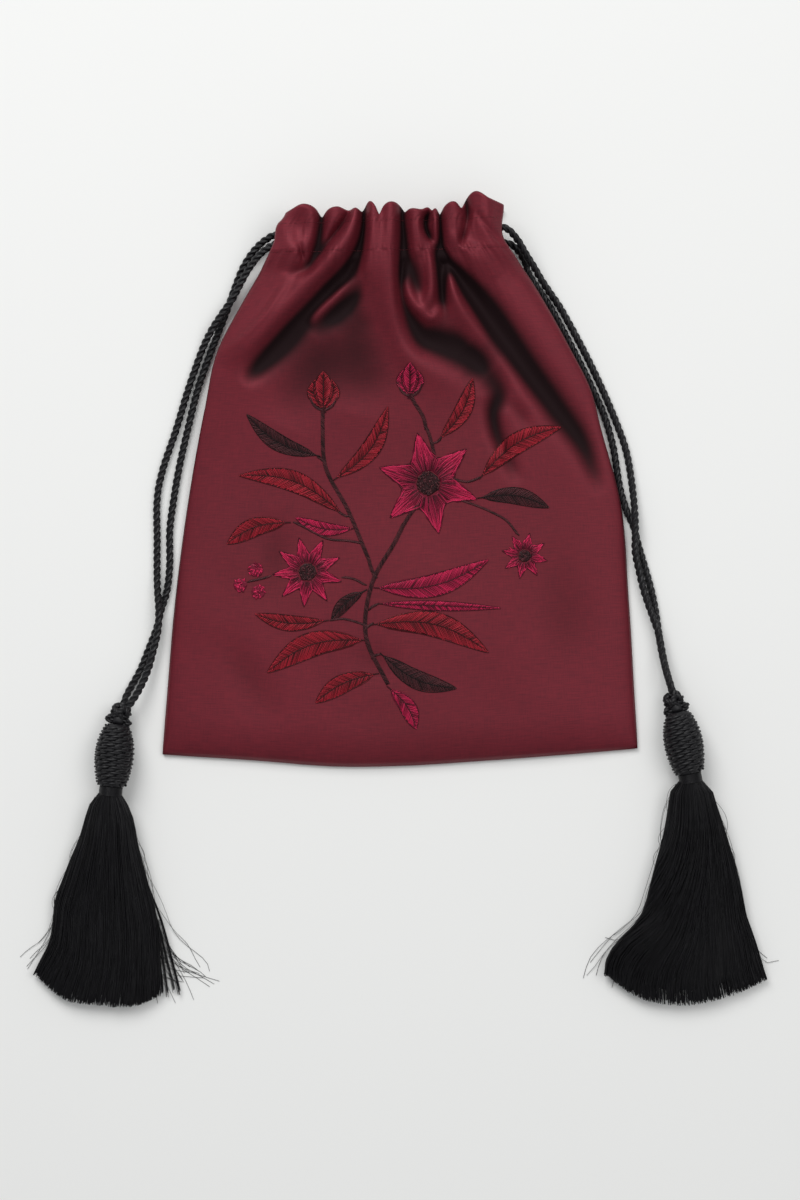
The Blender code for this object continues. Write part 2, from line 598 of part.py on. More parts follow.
def tassel(side, top, tilt, knot_tilt, home, surfaces, rows, ends, floor_heights):
    """Everything that hangs on one cord: knot, head core, winding, binding and skirt."""
    silk, wood = surfaces
    pose = lying(top, tilt)
    knot_pose = lying(pose @ Vector((0, 0, GAP)), knot_tilt, KNOT_DIP)
    knot(f"knot_{side}", home, silk, knot_pose)
    tassel_mould(f"tassel_mould_{side}", home, wood, pose)
    tassel_winding(f"tassel_winding_{side}", home, silk, pose)
    neck_binding(f"neck_binding_{side}", home, silk, pose)
    neck = pose @ Vector((0, 0, -HEAD_LENGTH))
    skirt(f"skirt_{side}", home, silk, neck, tilt, rows, ends, floor_heights)


def outline_curve(name, loops, home):
    """A flat outline as a thick 2D curve, welded to one closed cutter mesh."""
    line = bpy.data.curves.new(name, "CURVE")
    line.dimensions = "2D"
    line.fill_mode = "BOTH"
    line.extrude = CUTTER_REACH
    for loop in loops:
        spline = line.splines.new("POLY")
        spline.points.add(len(loop) - 1)
        spline.use_cyclic_u = True
        for node, (x, y) in zip(spline.points, loop):
            node.co = (x * MM, y * MM, 0, 1)
    shape = bpy.data.objects.new(name, line)
    home.objects.link(shape)
    bpy.context.view_layer.update()
    mesh = bpy.data.meshes.new_from_object(shape.evaluated_get(bpy.context.evaluated_depsgraph_get()))
    bm = bmesh.new()
    bm.from_mesh(mesh)
    bmesh.ops.remove_doubles(bm, verts=bm.verts, dist=0.00001)
    bmesh.ops.recalc_face_normals(bm, faces=bm.faces)
    bm.to_mesh(mesh)
    bm.free()
    cutter = bpy.data.objects.new(name + "_cutter", mesh)
    cutter.matrix_world = shape.matrix_world
    bpy.data.objects.remove(shape)
    home.objects.link(cutter)
    cutter.hide_render = True
    cutter.display_type = "WIRE"
    return cutter


def leaf(base, tip, width, bend=0.0, steps=9):
    """Outline of a pointed leaf from base to tip, bent sideways by a share of its length."""
    base = Vector(base)
    run = Vector(tip) - base
    side = Vector((-run.y, run.x))
    left = []
    right = []
    for k in range(steps + 1):
        t = k / steps
        middle = base + run * t + side * bend * sin(pi * t)
        half = side.normalized() * width / 2 * sin(pi * t ** 0.8) ** 0.9
        if 0 < k < steps:
            left.append(middle + half)
            right.append(middle - half)
        else:
            left.append(middle)
    return [tuple(p) for p in left + right[::-1]]


def rosette(centre, petals, inner, outer, turn=0.0, squash=1.0):
    """Outline of a flower with pointed petals."""
    points = []
    for k in range(petals * 4):
        angle = radians(turn) + 2 * pi * k / (petals * 4)
        radius = (inner, (inner + outer) * 0.5, outer, (inner + outer) * 0.5)[k % 4]
        points.append((centre[0] + radius * cos(angle), centre[1] + squash * radius * sin(angle)))
    return points


def round_loop(centre, radius, sides=10):
    """A small round outline."""
    return [(centre[0] + radius * cos(2 * pi * k / sides), centre[1] + radius * sin(2 * pi * k / sides))
            for k in range(sides)]


def stem(points, width):
    """Outline of a stem along a smooth line."""
    spine = smooth_path(points, 3)
    ahead = np.gradient(spine, axis=0)
    side = np.stack([-ahead[:, 1], ahead[:, 0]], axis=1)
    side = side / np.linalg.norm(side, axis=1)[:, None] * width / 2
    return [tuple(p) for p in spine + side] + [tuple(p) for p in (spine - side)[::-1]]


# Embroidered spray: name, thread colour and outlines in millimetres on the front panel
BLOSSOM = (14, 58)
DAISY = (-46, 14)
SMALL_BUD = (5, 107)
SMALL_DAISY = (62, 22)
BERRIES = [(-72, 15), (-79.5, 7.5), (-70.5, 4)]
BERRY_RADIUS = 3.4
MOTIFS = [
    ("embroidered_blossom", "8E1C44", [rosette(BLOSSOM, 6, 10, 25, 12), round_loop(BLOSSOM, 6.4)]),
    ("embroidered_blossom_heart", "45202A", [round_loop(BLOSSOM, 5.8)]),
    ("embroidered_daisy", "94204A", [rosette(DAISY, 9, 8.5, 17, 4), round_loop(DAISY, 5.0)]),
    ("embroidered_daisy_heart", "45202A", [round_loop(DAISY, 4.4)]),
    ("embroidered_bud", "7C1830", [rosette((-38, 101), 3, 5, 12.5, 30)]),
    ("embroidered_main_stem", "45202A", [stem([(-6, -42), (-17, -18), (-14, 8), (-3, 28), (2, 38)], 1.8)]),
    ("embroidered_bud_stem", "45202A", [stem([(-15.5, 20), (-26, 45), (-37, 66), (-38.5, 89)], 1.6)]),
    ("embroidered_leaf_1", "86182C", [leaf((-11.5, -12), (44, -26), 12, 0.12)]),
    ("embroidered_leaf_2", "45202A", [leaf((-8, -28), (28, -44), 9, -0.1)]),
    ("embroidered_leaf_3", "8A1A2E", [leaf((-19, -20), (-66, -36), 12, -0.12)]),
    ("embroidered_leaf_4", "9A2050", [leaf((-10.5, 6), (44, 20), 11, -0.1)]),
    ("embroidered_leaf_5", "45202A", [leaf((-18.6, 4), (-34, -10), 6, -0.08)]),
    ("embroidered_leaf_6", "86182C", [leaf((-30, 44), (-80, 62), 10, -0.12)]),
    ("embroidered_leaf_7", "8A1A2E", [leaf((-31, 61), (-6, 96), 9, -0.12)]),
    ("embroidered_leaf_8", "45202A", [leaf((-42, 72), (-76, 92), 8, 0.1)]),
    ("embroidered_leaf_9", "86182C", [leaf((20.5, 81), (36, 110), 8, -0.1)]),
    ("embroidered_leaf_10", "9A2050", [leaf((-24, 35.5), (-52, 41), 6.5, 0.1)]),
    ("embroidered_leaf_11", "86182C", [leaf((41, 62), (80, 86), 10, 0.1)]),
    ("embroidered_leaf_12", "45202A", [leaf((41, 51), (74, 46), 8, 0.1)]),
    ("embroidered_leaf_13", "9A2050", [leaf((-8.5, -1.9), (50, -4), 4.4)]),
    ("embroidered_leaf_14", "8A1A2E", [leaf((-38, -10.5), (-72, -7), 7.5, 0.08)]),
    ("embroidered_leaf_15", "86182C", [leaf((-57, 38.5), (-86, 28), 9, -0.1)]),
    ("embroidered_leaf_16", "8A1A2E", [leaf((-13, -37), (-42, -51), 9, -0.08)]),
    ("embroidered_leaf_17", "9A2050", [leaf((-4.5, -44.5), (8, -64), 8, 0.1)]),
    ("embroidered_small_bud", "9A2050", [rosette(SMALL_BUD, 3, 4.2, 10.5, 30)]),
    ("embroidered_small_bud_stem", "45202A", [stem([(13, 84.5), (11.5, 91), (6.8, 98.5)], 1.5)]),
    ("embroidered_small_daisy", "8E1C44",
     [rosette(SMALL_DAISY, 8, 5.6, 11, 10), round_loop(SMALL_DAISY, 3.6)]),
    ("embroidered_small_daisy_heart", "45202A", [round_loop(SMALL_DAISY, 3.1)]),
    ("embroidered_berry_1", "8E1C44", [round_loop(BERRIES[0], BERRY_RADIUS)]),
    ("embroidered_berry_2", "8E1C44", [round_loop(BERRIES[1], BERRY_RADIUS)]),
    ("embroidered_berry_3", "8E1C44", [round_loop(BERRIES[2], BERRY_RADIUS)]),
]


def build_embroidery(home):
    """Each motif is a thin raised patch that follows the front panel's folds."""
    levels = body_levels(FRONT_BODY_ROWS) + UPPER_LEVELS[:1]
    for name, colour, loops in MOTIFS:
        bm = cloth_grid(front_point, FRONT_COLUMNS, levels, False)
        made = add_mesh(name, bm, home, material("silk_thread_" + colour, colour, 0.4))
        lift = made.modifiers.new("lift", "DISPLACE")
        lift.strength = CLOTH / 2 + GAP
        lift.mid_level = 0
        thicken(made, THREAD_RELIEF, 1)
        cut = made.modifiers.new("outline", "BOOLEAN")
        cut.operation = "INTERSECT"
        cut.object = outline_curve(name, loops, guides)


for old in list(bpy.data.objects):
    bpy.data.objects.remove(old)

bag = collection("tapestry_bag")
guides = collection("guides")
cloth = material("shot_taffeta", "6B2833", 0.45)
silk = material("black_silk", SILK_BLACK, 0.55)
wood = material("beech", "B98F62", 0.6)

build_panels(bag, cloth)
build_embroidery(bag)
cord("cord_left", LEFT_ROUTE, bag, silk)
cord("cord_right", RIGHT_ROUTE, bag, silk)
tassel("left", Vector((-140.5 * MM, -62 * MM, HEAD_RADIUS)), radians(-5.7), radians(-16), bag, (silk, wood),
       rows=[(0.075, -0.2, 8), (0.15, -0.5, 12.5), (0.34, -2.5, 19.5), (0.55, -3.2, 24.8),
             (0.75, -5, 29), (0.92, -6.2, 32), (1, -6.4, 32.5)],
       ends=[(-1, 91.5), (-0.6, 102), (0, 106), (0.7, 106), (1, 102)],
       floor_heights=[(0, 9, 5), (0.15, 8, 6.2), (0.34, 6.6, 6), (0.55, 5.4, 5.2), (1, 4, 3.8)])
tassel("right", Vector((138 * MM, -56 * MM, HEAD_RADIUS)), radians(11), radians(18), bag, (silk, wood),
       rows=[(0.075, 0.9, 9), (0.16, 1.5, 12.5), (0.38, 3.2, 18.8), (0.6, 3.7, 25.8),
             (0.72, 0.5, 32), (0.88, -1.6, 38), (1, -1.8, 40)],
       ends=[(-1, 98), (-0.7, 107), (-0.2, 112.5), (0.45, 109.5), (1, 101)],
       floor_heights=[(0, 9, 5), (0.16, 8, 6.4), (0.38, 6.6, 6), (0.6, 5.4, 5.2), (1, 4, 3.8)])
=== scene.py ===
"""Drawstring tapestry bag, lying flat: cloth, embroidery, cords, knots, tassels and stage.

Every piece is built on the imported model's frame: metres, +X right, +Y to the mouth, +Z up.
"""
from functools import partial
from math import cos, pi, radians, sin, sqrt

import bmesh
import bpy
import numpy as np
from bpy.props import FloatProperty, FloatVectorProperty, IntProperty, PointerProperty
from mathutils import Matrix, Vector
from mathutils.bvhtree import BVHTree


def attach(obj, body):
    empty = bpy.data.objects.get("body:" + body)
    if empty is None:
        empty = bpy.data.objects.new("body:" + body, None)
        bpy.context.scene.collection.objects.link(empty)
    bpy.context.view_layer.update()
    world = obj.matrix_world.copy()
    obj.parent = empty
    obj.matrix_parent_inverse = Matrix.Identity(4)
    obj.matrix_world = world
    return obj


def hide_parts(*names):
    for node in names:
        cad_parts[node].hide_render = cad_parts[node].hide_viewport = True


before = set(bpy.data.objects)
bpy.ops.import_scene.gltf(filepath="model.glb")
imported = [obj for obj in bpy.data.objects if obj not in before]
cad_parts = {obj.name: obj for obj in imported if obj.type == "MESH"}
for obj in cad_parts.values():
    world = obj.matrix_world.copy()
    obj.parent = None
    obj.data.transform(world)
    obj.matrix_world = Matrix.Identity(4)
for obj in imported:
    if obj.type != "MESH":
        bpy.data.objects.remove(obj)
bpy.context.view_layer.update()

bl_info = {
    "name": "Drawstring Tapestry Bag",
    "version": (1, 0, 0),
    "blender": (4, 5, 0),
    "location": "View3D > Sidebar > Tapestry Bag",
    "description": "Builds a flat drawstring bag with embroidery, twisted cords and silk tassels",
    "category": "Object",
}

MM = 0.001


def hex_colour(code):
    """Linear colour from an sRGB hex code."""
    channels = [int(code[i:i + 2], 16) / 255 for i in (0, 2, 4)]
    return tuple(c / 12.92 if c <= 0.04045 else ((c + 0.055) / 1.055) ** 2.4 for c in channels)


# Sizes shared with the solid model, in metres

GAP = 0.3 * MM
STRAND_OVERLAP = 1.04
CLOTH = 0.7 * MM
CORD_DIAMETER = 3.8 * MM
BACK_PLEAT = 4.0 * MM
MOUTH_GAP = 4.8 * MM
FRILL_LAYERS = 2.6 * MM
SEAM_BY_HEM = 1.4 * MM
SEAM_BY_MOUTH = 10.5 * MM
CORD_R = CORD_DIAMETER / 2
BACK_LOW = CLOTH / 2
BACK_CORD_Z = BACK_LOW + BACK_PLEAT + CLOTH / 2 + GAP + CORD_R
BACK_FACING_Z = BACK_CORD_Z + CORD_R + GAP + CLOTH / 2
FRONT_FACING_Z = BACK_FACING_Z + CLOTH + MOUTH_GAP
FRONT_CORD_Z = FRONT_FACING_Z + CLOTH / 2 + GAP + CORD_R
FRONT_LOW = FRONT_CORD_Z + CORD_R + GAP + CLOTH / 2
BAG_WIDTH = 237 * MM
SEAM_THREAD = 0.22 * MM

# Panel outline, in millimetres: x of each side edge by y, y of hem and mouth by x
LEFT_EDGE = [(-77, -118.5), (-50, -116.3), (0, -112), (50, -105.3), (95, -97), (125, -90),
             (145, -79.5), (165, -68), (177, -62), (185, -60.5), (190.5, -56.5)]
RIGHT_EDGE = [(-74, 118.5), (-50, 117), (0, 114), (50, 109.5), (85, 100), (105, 94.5),
              (125, 84.3), (145, 73.2), (160, 64), (170, 57), (177.5, 51.5), (195, 51)]
HEM = [(-118.5, -77), (-77.5, -79.5), (-27.5, -83), (2.5, -82.5), (42.5, -80),
       (82.5, -77), (118.5, -74)]
MOUTH = [(-60, 188.5), (-54, 191.5), (-47, 194.2), (-41.5, 191.8), (-38.5, 188.2), (-36, 191),
         (-31, 192.8), (-25, 191.2), (-22, 192.2), (-18.5, 191), (-15, 195.7), (-12.5, 193.5),
         (-10.3, 189.2), (-8, 193.2), (-4, 195.2), (0.5, 193), (2.2, 190.8), (4.5, 191.8),
         (11, 191.7), (13.8, 192.7), (16, 191.3), (17.5, 192.3), (19.6, 189.6), (22, 193),
         (27.4, 195), (30.4, 192.4), (33.2, 197.4), (35.8, 200), (44, 197), (51, 194.6)]

# Heights along the cloth: hem, casing's lower and upper stitch lines, mouth edge
LEVEL_LEFT = [(0, -77), (1, 171.5), (2, 185.5), (3, 190.5)]
LEVEL_RIGHT = [(0, -74), (1, 174), (2, 188.5), (3, 195)]
TOP_LEVEL = 3
LAST_LEVEL = 6
FACING_INSET = 0.19
FRILL_ROWS = 32
TURN_ROWS = 5
FACING_ROWS = 16

# Metres along the flat cloth by level
FLAT_LENGTH = [(0, 0), (1, 0.248), (2, 0.262), (3, 0.268), (4, 0.272), (6, 0.308)]

# Height of the front panel's middle above the floor, by y
CROWN = [(-85, 8), (0, 8.6), (60, 9.4), (95, 12), (125, 16.5), (150, 21), (166, 24.2), (200, 25)]
HEM_ROUND = 20
BACK_RISE_FROM = 0.8
BACK_WAVES = 7
BACK_WAVES_FROM = 118
BACK_WAVES_OVER = 50
SIDE_ROUND_POWER = 5
EDGE_LIFT_BY_MOUTH = 0.8
SEAM_OPENS_AT = 0.955
SEAM_OPENS_OVER = 0.06
CASING_FLOOR_FROM = 0.93
FACING_DROP_FROM = 1.25
FACING_DROP_OVER = 0.65
LEAST_FILLING = 2.4
# fold depth in millimetres at which the painted shade in the folds is full
PAINTED_SHADE_DEPTH = 3.9
SEAM_RISE_FROM = 10
SEAM_RISE_OVER = 150
MOUTH_ROUND = 0.6

# Small waves of the front panel: longest wave and height, in millimetres
GATHER_LENGTH = 7.5
CREASE_LENGTH = 19
HEM_LENGTH, HEM_HEIGHT = 26, 0.35
SLACK_HEIGHT = 0.32
# painted shade on the facings inside the mouth, which lie in the dark
FACING_PAINTED_SHADE = 0.8

# Folds of the front panel: points (x, y, half width, height) in millimetres, ridges up and
# valleys down, each from the mouth towards the hem; a valley's depth also sets the painted
# shade that darkens the cloth's colour there
FOLDS = [
    # corner lobe on the left, the valley beside it and the small dent at its foot
    [(-50, 197, 9, 4), (-49.5, 185, 9, 4), (-51, 172.5, 8, 3), (-55, 162, 7, 0)],
    [(-38.2, 197, 2.4, -5), (-39.3, 182.5, 3, -5), (-41.5, 172.5, 3.2, -5), (-45, 165, 3.2, -4.4),
     (-52, 162.5, 3, -1.4), (-59, 166, 3, 0)],
    [(-49.5, 177, 1.3, 0), (-48.4, 171, 1.5, -3), (-46.5, 164.5, 1.5, 0)],
    # pouch behind the long ridge
    [(-31.5, 197, 4.5, 3.5), (-32.5, 188, 4.5, 3), (-35.5, 180, 3, 1.6), (-38.5, 172, 2.5, 0)],
    [(-23, 195, 1.5, 0), (-27.5, 187, 1.9, -3.4), (-33, 180, 2, -3.6), (-37.5, 173.5, 1.9, -2.8),
     (-41, 167, 1.8, 0)],
    # long ridge that fans out to the left edge, with the deep valley beside it
    [(-20.8, 197, 2.6, 3.5), (-22.5, 187, 3.2, 4.5), (-28, 175, 4.4, 5), (-41, 159, 5.5, 5),
     (-48.5, 151, 6, 5), (-59.5, 141, 6.2, 4.6), (-70.5, 130.5, 6, 3.6), (-80.5, 123.5, 5.5, 2),
     (-90, 119, 5, 0)],
    [(-52, 160, 2, 0), (-59.5, 151, 2, 0.9), (-66, 142, 1.8, 1.2), (-72.5, 135, 1.8, 1.2),
     (-82, 127, 2, 0.9), (-93, 122, 2.4, 0)],
    [(-17.8, 197, 2.2, -5), (-18.5, 181, 2.8, -5.5), (-21.5, 170, 4.2, -6), (-27.5, 161, 5.6, -6),
     (-41.5, 149, 6.5, -6), (-58.5, 129, 7, -5.6), (-71, 115, 5.5, -3.8), (-78, 107, 3.5, 0)],
    # sharp crease in that valley, with a second hollow under it
    [(-22, 160, 1.8, 0), (-31, 150.5, 2.2, 2.4), (-41, 141, 2.4, 2.6), (-45, 136, 2.4, 0)],
    [(-15.5, 163, 2.6, 0), (-21.5, 151, 4, -3.2), (-31, 142, 5, -4), (-38, 136, 5, -2),
     (-42, 130, 5, 0)],
    # broad flat middle column, curling off to the right at its foot
    [(-13.2, 197, 2.8, 3), (-13.2, 185, 3.6, 3.6), (-14.2, 172, 4.2, 3.6), (-15, 160, 4.5, 2.4),
     (-16, 150, 4.5, 0)],
    [(-4.8, 199, 3.4, 4), (-4.8, 185, 4.2, 4.4), (-6, 172, 5, 4.2), (-6.5, 158, 6, 4.4),
     (-4.5, 146, 6.5, 4), (-0.5, 133, 6.5, 3.2), (6, 121, 6.5, 2.6), (19, 113, 8, 1.4),
     (32, 108, 8, 0)],
    [(-15, 150, 8, 0), (-21, 139, 9, -2.2), (-20, 127, 9, -1.2), (-15, 116, 8, 0)],
    [(1.4, 197, 2.2, -5), (1.2, 188, 2.6, -5), (1.8, 178, 3.2, -5.6), (1.6, 170, 3.4, -5.8),
     (0.5, 162, 2.8, -5.2), (0.6, 154, 2.8, -5), (3.5, 142, 4.8, -5), (9.5, 131, 7.5, -5),
     (20, 127, 9.5, -4.8), (33, 122.5, 11, -4.2), (44, 112, 10, 0)],
    # flat lobe right of the middle, with a dark opening at its edge and a swag below
    [(8, 196, 4, 3.5), (8, 182, 4.2, 3.2), (8.5, 174, 4, 2), (9, 168, 3, 0)],
    [(15.8, 193, 1.5, 0), (13, 188.8, 1.9, -5.4), (12.6, 184, 2, -5.4), (14.2, 180, 1.8, -4.8),
     (16.5, 176, 1.5, 0)],
    [(17.2, 194, 1.3, 0), (17.5, 189, 1.4, 3.4), (17.8, 181, 1.4, 3), (18.4, 174, 1.2, 0)],
    [(5, 172, 3, 0), (6, 163.5, 4.4, -3.4), (8.5, 155, 4.2, -3), (11, 149, 3, 0)],
    [(13, 174, 2.4, 0), (15, 164, 2.5, 3), (15.4, 153, 2.5, 3.4), (13, 146, 2.5, 2),
     (8, 143, 2.5, 0)],
    [(0.5, 159, 2.6, 0), (5, 148.5, 2.6, 2.5), (10, 142.5, 2.6, 3), (16.5, 139.5, 2.6, 2.5),
     (21.5, 147, 2.6, 0)],
    [(19.7, 197, 1.7, -4.6), (19.8, 186, 1.8, -4.6), (20, 178, 2.4, -5.2), (19.8, 170, 3.4, -5.8),
     (20.5, 160, 3.6, -5.6), (21, 151, 3.2, -4.8), (21.8, 143, 3.2, -2), (24, 136, 3.2, 0)],
    # lobe left of the corner, and the narrow ridge below it that runs beside the longest valley
    [(26, 197, 4.4, 4), (26.2, 186, 4.4, 3.6), (26, 178, 4, 2.6), (26, 171, 3, 0)],
    [(23.5, 168, 1.8, 0), (25, 160, 2.4, 2.6), (28, 149, 3.4, 3.4), (36, 135.5, 5.5, 3),
     (49.5, 119.5, 7, 2.5), (60.5, 104, 7, 1.5), (72, 88, 7, 0)],
    [(32.4, 198, 1.8, -4.6), (33.4, 191, 2, -4), (32.4, 184, 1.9, -2.4), (30.6, 178, 1.8, -3.4),
     (29.6, 173, 1.6, 0)],
    [(19.8, 174, 2, 0), (23.5, 167, 3, -5), (28.8, 160.5, 4.6, -6.4), (34.8, 153, 6, -6.8),
     (43.8, 141, 7.4, -6.8), (53, 127.5, 7.8, -6.6), (64.5, 112, 7.6, -5.8), (77, 96.5, 7, -4.8),
     (89.5, 80, 6, -4), (96.5, 64, 4.5, -2.4), (100.5, 52, 4, 0)],
    [(25, 182, 3, 0), (31, 174, 3.6, 2.4), (39, 167.5, 5, 2.6), (48, 158, 6, 0)],
    # corner lobe on the right, folded over along a slanting line
    [(42, 202, 6, 5), (43, 187, 6.5, 5), (46, 177, 7, 3.5), (54, 169, 7, 2), (60, 163, 7, 0)],
    [(36.5, 193, 1.4, 0), (42, 185, 1.5, -1.5), (48, 177.5, 1.5, -1.5), (55, 170.5, 1.4, 0)],
    # soft bowl below the mouth and the crease that runs out of it
    [(32, 125, 7, 0), (41, 117, 8, -3), (49, 104, 6, -3.6), (46.5, 93, 4.2, -3.8),
     (48.5, 82, 4, -3.4), (54, 69, 3.6, -2.4), (59, 57, 4, 0)],
    [(54, 100, 3.5, 0), (60, 92, 3.5, -1.5), (65, 83, 3.5, 0)],
    # broad shallow valleys under the ridges, there mostly for the painted shade that their depth
    # gives
    [(-24, 138, 12, 0), (-38, 122, 15, -2.3), (-50, 104, 16, -1.8), (-58, 86, 14, 0)],
    [(-13, 143, 8, 0), (-12, 127, 12, -1.1), (-17, 111, 15, -2), (-21, 92, 16, 0)],
    # soft dent in the left corner lobe, deep enough to carry painted shade
    [(-47, 193, 3, 0), (-49.5, 186, 4.8, -4), (-50, 180, 4.8, -3.6), (-50, 173, 3, 0)],
    # slack waves low on the body
    [(-92, -14, 10, 0), (-75, -40, 10, -1.1), (-58, -67, 10, 0)],
    [(-67, 45, 10, 0), (-62, 20, 10, -1.3), (-67, -8, 10, 0)],
    [(-27, -22, 9, 0), (-12, -32, 9, -1), (4, -34, 9, 0)],
    [(70, 30, 14, 0), (82, -10, 16, -1.2), (74, -50, 14, 0)],
]

# Cord routes, in millimetres: x, y and height, from the knot through both casings and back
BACK_Z = BACK_CORD_Z / MM
FRONT_Z = FRONT_CORD_Z / MM
LEFT_ROUTE = [
    (-139.6, -55.4, 8.2),
    (-137.8, -52.2, 6.1), (-136.7, -48.6, 4.5), (-134.3, -43.5, 2.6), (-129.7, -35, 1.95),
    (-125.7, -25, 1.95),
    (-121.5, -14, 1.95), (-119.3, -5, 1.95), (-116.3, 5, 1.95), (-115, 18, 1.95),
    (-115, 34, 1.95), (-113.5, 47, 1.95), (-110.3, 66, 1.95), (-106, 85, 1.95),
    (-101, 105, 1.95), (-94, 125, 1.95), (-87, 143, 1.95), (-82, 157, 1.95),
    (-78, 166.5, 2.6), (-72.5, 174.5, 4.4), (-66, 180, 6.2), (-59, 182, BACK_Z),
    (-30, 182.5, BACK_Z), (0, 182.5, BACK_Z), (25, 182.5, BACK_Z), (41, 182.5, BACK_Z),
    (45.8, 181.3, 8.6), (47.6, 179.8, 12.2), (45.8, 178.2, 15.8), (41, 177, FRONT_Z),
    (25, 176.8, FRONT_Z), (0, 176.5, FRONT_Z), (-30, 176.5, FRONT_Z), (-57, 176.5, FRONT_Z),
    (-63.5, 175.5, 16.6), (-69.5, 171.5, 13.6), (-75, 165, 9.6), (-79.5, 157.5, 7.0),
    (-83.5, 150, 6.1), (-89, 142, 6.1), (-94.2, 134, 5.4), (-98.7, 125, 2.6),
    (-105.8, 105, 1.95), (-111.8, 85, 1.95), (-118.5, 65, 1.95), (-121.3, 50, 1.95),
    (-121.3, 30, 1.95), (-121.3, 15, 2.4), (-120.9, 5, 4.4), (-120.2, -5, 6.1),
    (-120.6, -15, 6.1), (-122.9, -25, 5.6), (-125.6, -35, 6.3), (-129.7, -44.5, 8.4),
    (-134.4, -52, 9.6), (-137.4, -54.8, 10)]
RIGHT_ROUTE = [
    (136.5, -48.8, 8),
    (135.7, -45.7, 5.8), (134.7, -42, 4.3), (132.9, -35, 2.4), (130.5, -25, 1.95), (129, -15, 1.95),
    (127.5, -5, 1.95), (125.2, 6, 1.95), (121.5, 19, 1.95), (118.6, 29, 1.95),
    (116.5, 37, 1.95), (113, 45, 1.95), (110, 55, 1.95), (108.3, 65, 1.95),
    (106.7, 75, 1.95), (104.2, 85, 1.95), (101, 94.5, 1.95), (96.5, 104.5, 1.95),
    (91.8, 114.5, 1.95), (86.7, 124.5, 1.95), (76, 144.5, 1.95), (65, 161.5, 2.4),
    (62.5, 168.5, 3.2), (58.5, 174.5, 4.8), (51.5, 178, BACK_Z), (30, 178, BACK_Z),
    (0, 178, BACK_Z), (-30, 178, BACK_Z), (-51.5, 177.6, BACK_Z), (-56.2, 178.6, 8.6),
    (-58, 180, 12.2), (-56.2, 181.2, 15.8), (-51.5, 182, FRONT_Z), (-30, 182, FRONT_Z),
    (0, 182, FRONT_Z), (30, 182.8, FRONT_Z), (46, 184, FRONT_Z), (52.5, 184, 16.8),
    (58, 179, 13.6), (62.5, 172, 10.4), (66.8, 165.5, 7.6), (70.8, 159, 5.4),
    (75, 153, 3.6), (80.8, 144.5, 2.2), (91.7, 124.5, 1.95), (101.3, 104.5, 1.95),
    (109, 86, 1.95), (113, 74, 1.95), (115.5, 60, 2.6), (117, 45, 4.6),
    (117.3, 35, 6.1), (117.2, 24, 6.0), (119.3, 14, 4.6), (121.8, 4, 4.4),
    (125.5, -7, 5.6), (128.6, -16, 6.1), (130.4, -25, 7.2), (132, -34, 10),
    (134, -41, 11.6), (135.3, -45.2, 10.9), (136.2, -48.4, 10.4)]

# Tassels: place and tilt of the head's upper end, tilt and dip of the knot, and the skirt's
# tables in millimetres: (share, centre x, half width), (place across, length) and
# (share, centre height, half height)
HEAD_LENGTH = 30.5 * MM
HEAD_RADIUS = 10 * MM
HEAD_TOP_RADIUS = 5.6 * MM
HEAD_FOOT_RADIUS = 6.9 * MM
WRAP_CORD = 2.0 * MM
WRAP_STARTS = 8
WRAP_TURNS = -22 / 16
BINDING_RADIUS = 5.6 * MM
BINDING_LENGTH = 3.6 * MM
KNOT_DIP = radians(14)
SKIRT_LOCKS = 44
LOCK_THREADS = 11
CORE_SIDES = 40
CORE_RINGS = 24
STRAY_REACH = 52 * MM
STRAY_DRIFT = 9 * MM
STRAY_CURL = 1.2 * MM
# Width of strays and split locks beside a skirt's other threads, and the shade of both
STRAY_WIDTH = 0.55
LOCK_WIDTH = 0.8
LOOSE_SHADE = 0.4
TASSELS = {
    "left": {
        "top": Vector((-140.5 * MM, -62 * MM, HEAD_RADIUS)), "tilt": radians(-5.7),
        "knot_tilt": radians(-16),
        "rows": [(0, -0.4, 5.4), (0.02, -0.8, 7.3), (0.07, -0.8, 9.9), (0.13, -0.6, 12),
                 (0.24, -1.1, 14.4), (0.36, -1.8, 18.2), (0.48, -2.3, 21.7), (0.59, -2.7, 24.7),
                 (0.71, -2.6, 25.8), (0.82, -3.4, 26.8), (0.92, -5.6, 29.2), (1, -7.4, 30.8)],
        "ends": [(-1, 91.5), (-0.6, 102), (0, 106), (0.7, 106), (1, 102)],
        "heights": [(0, 10, 4.6), (0.15, 8, 6.2), (0.34, 6.6, 6), (0.55, 5.4, 5.2), (1, 4, 3.8)],
        "sweep": 0.0, "swept_share": 0.0, "lean": 1, "stray_share": 1.0, "seed": 11,
        "split": [(2.6, 0.6, 0.99), (5.4, 0.5, 1.0), (8.2, 0.55, 0.98), (11.2, 0.42, 0.99)],
    },
    "right": {
        "top": Vector((138 * MM, -56 * MM, HEAD_RADIUS)), "tilt": radians(11),
        "knot_tilt": radians(18),
        "rows": [(0, 0.2, 5.4), (0.03, 0.4, 8.9), (0.1, 0.9, 11.3), (0.215, 2.1, 14.1),
                 (0.33, 2.7, 17), (0.44, 2.9, 19.8), (0.56, 2.8, 22.6), (0.68, 2.3, 25.4),
                 (0.75, 1.2, 29), (0.82, -1.1, 33.6), (0.91, -2.6, 37.6), (1, -1.8, 39.6)],
        "ends": [(-1, 98), (-0.7, 107), (-0.2, 112.5), (0.45, 109.5), (1, 101)],
        "heights": [(0, 10, 4.6), (0.16, 8, 6.4), (0.38, 6.6, 6), (0.6, 5.4, 5.2), (1, 4, 3.8)],
        "sweep": 0.9, "swept_share": 0.55, "lean": -1, "stray_share": 0.35, "seed": 12,
        "split": [],
    },
}


# Sizes and colours that a user would change

def length_of(name, description, default):
    """A length that a user can change."""
    return FloatProperty(name=name, description=description, default=default, unit="LENGTH")


def number_of(name, description, default, least):
    """A whole number that a user can change."""
    return IntProperty(name=name, description=description, default=default, min=least)


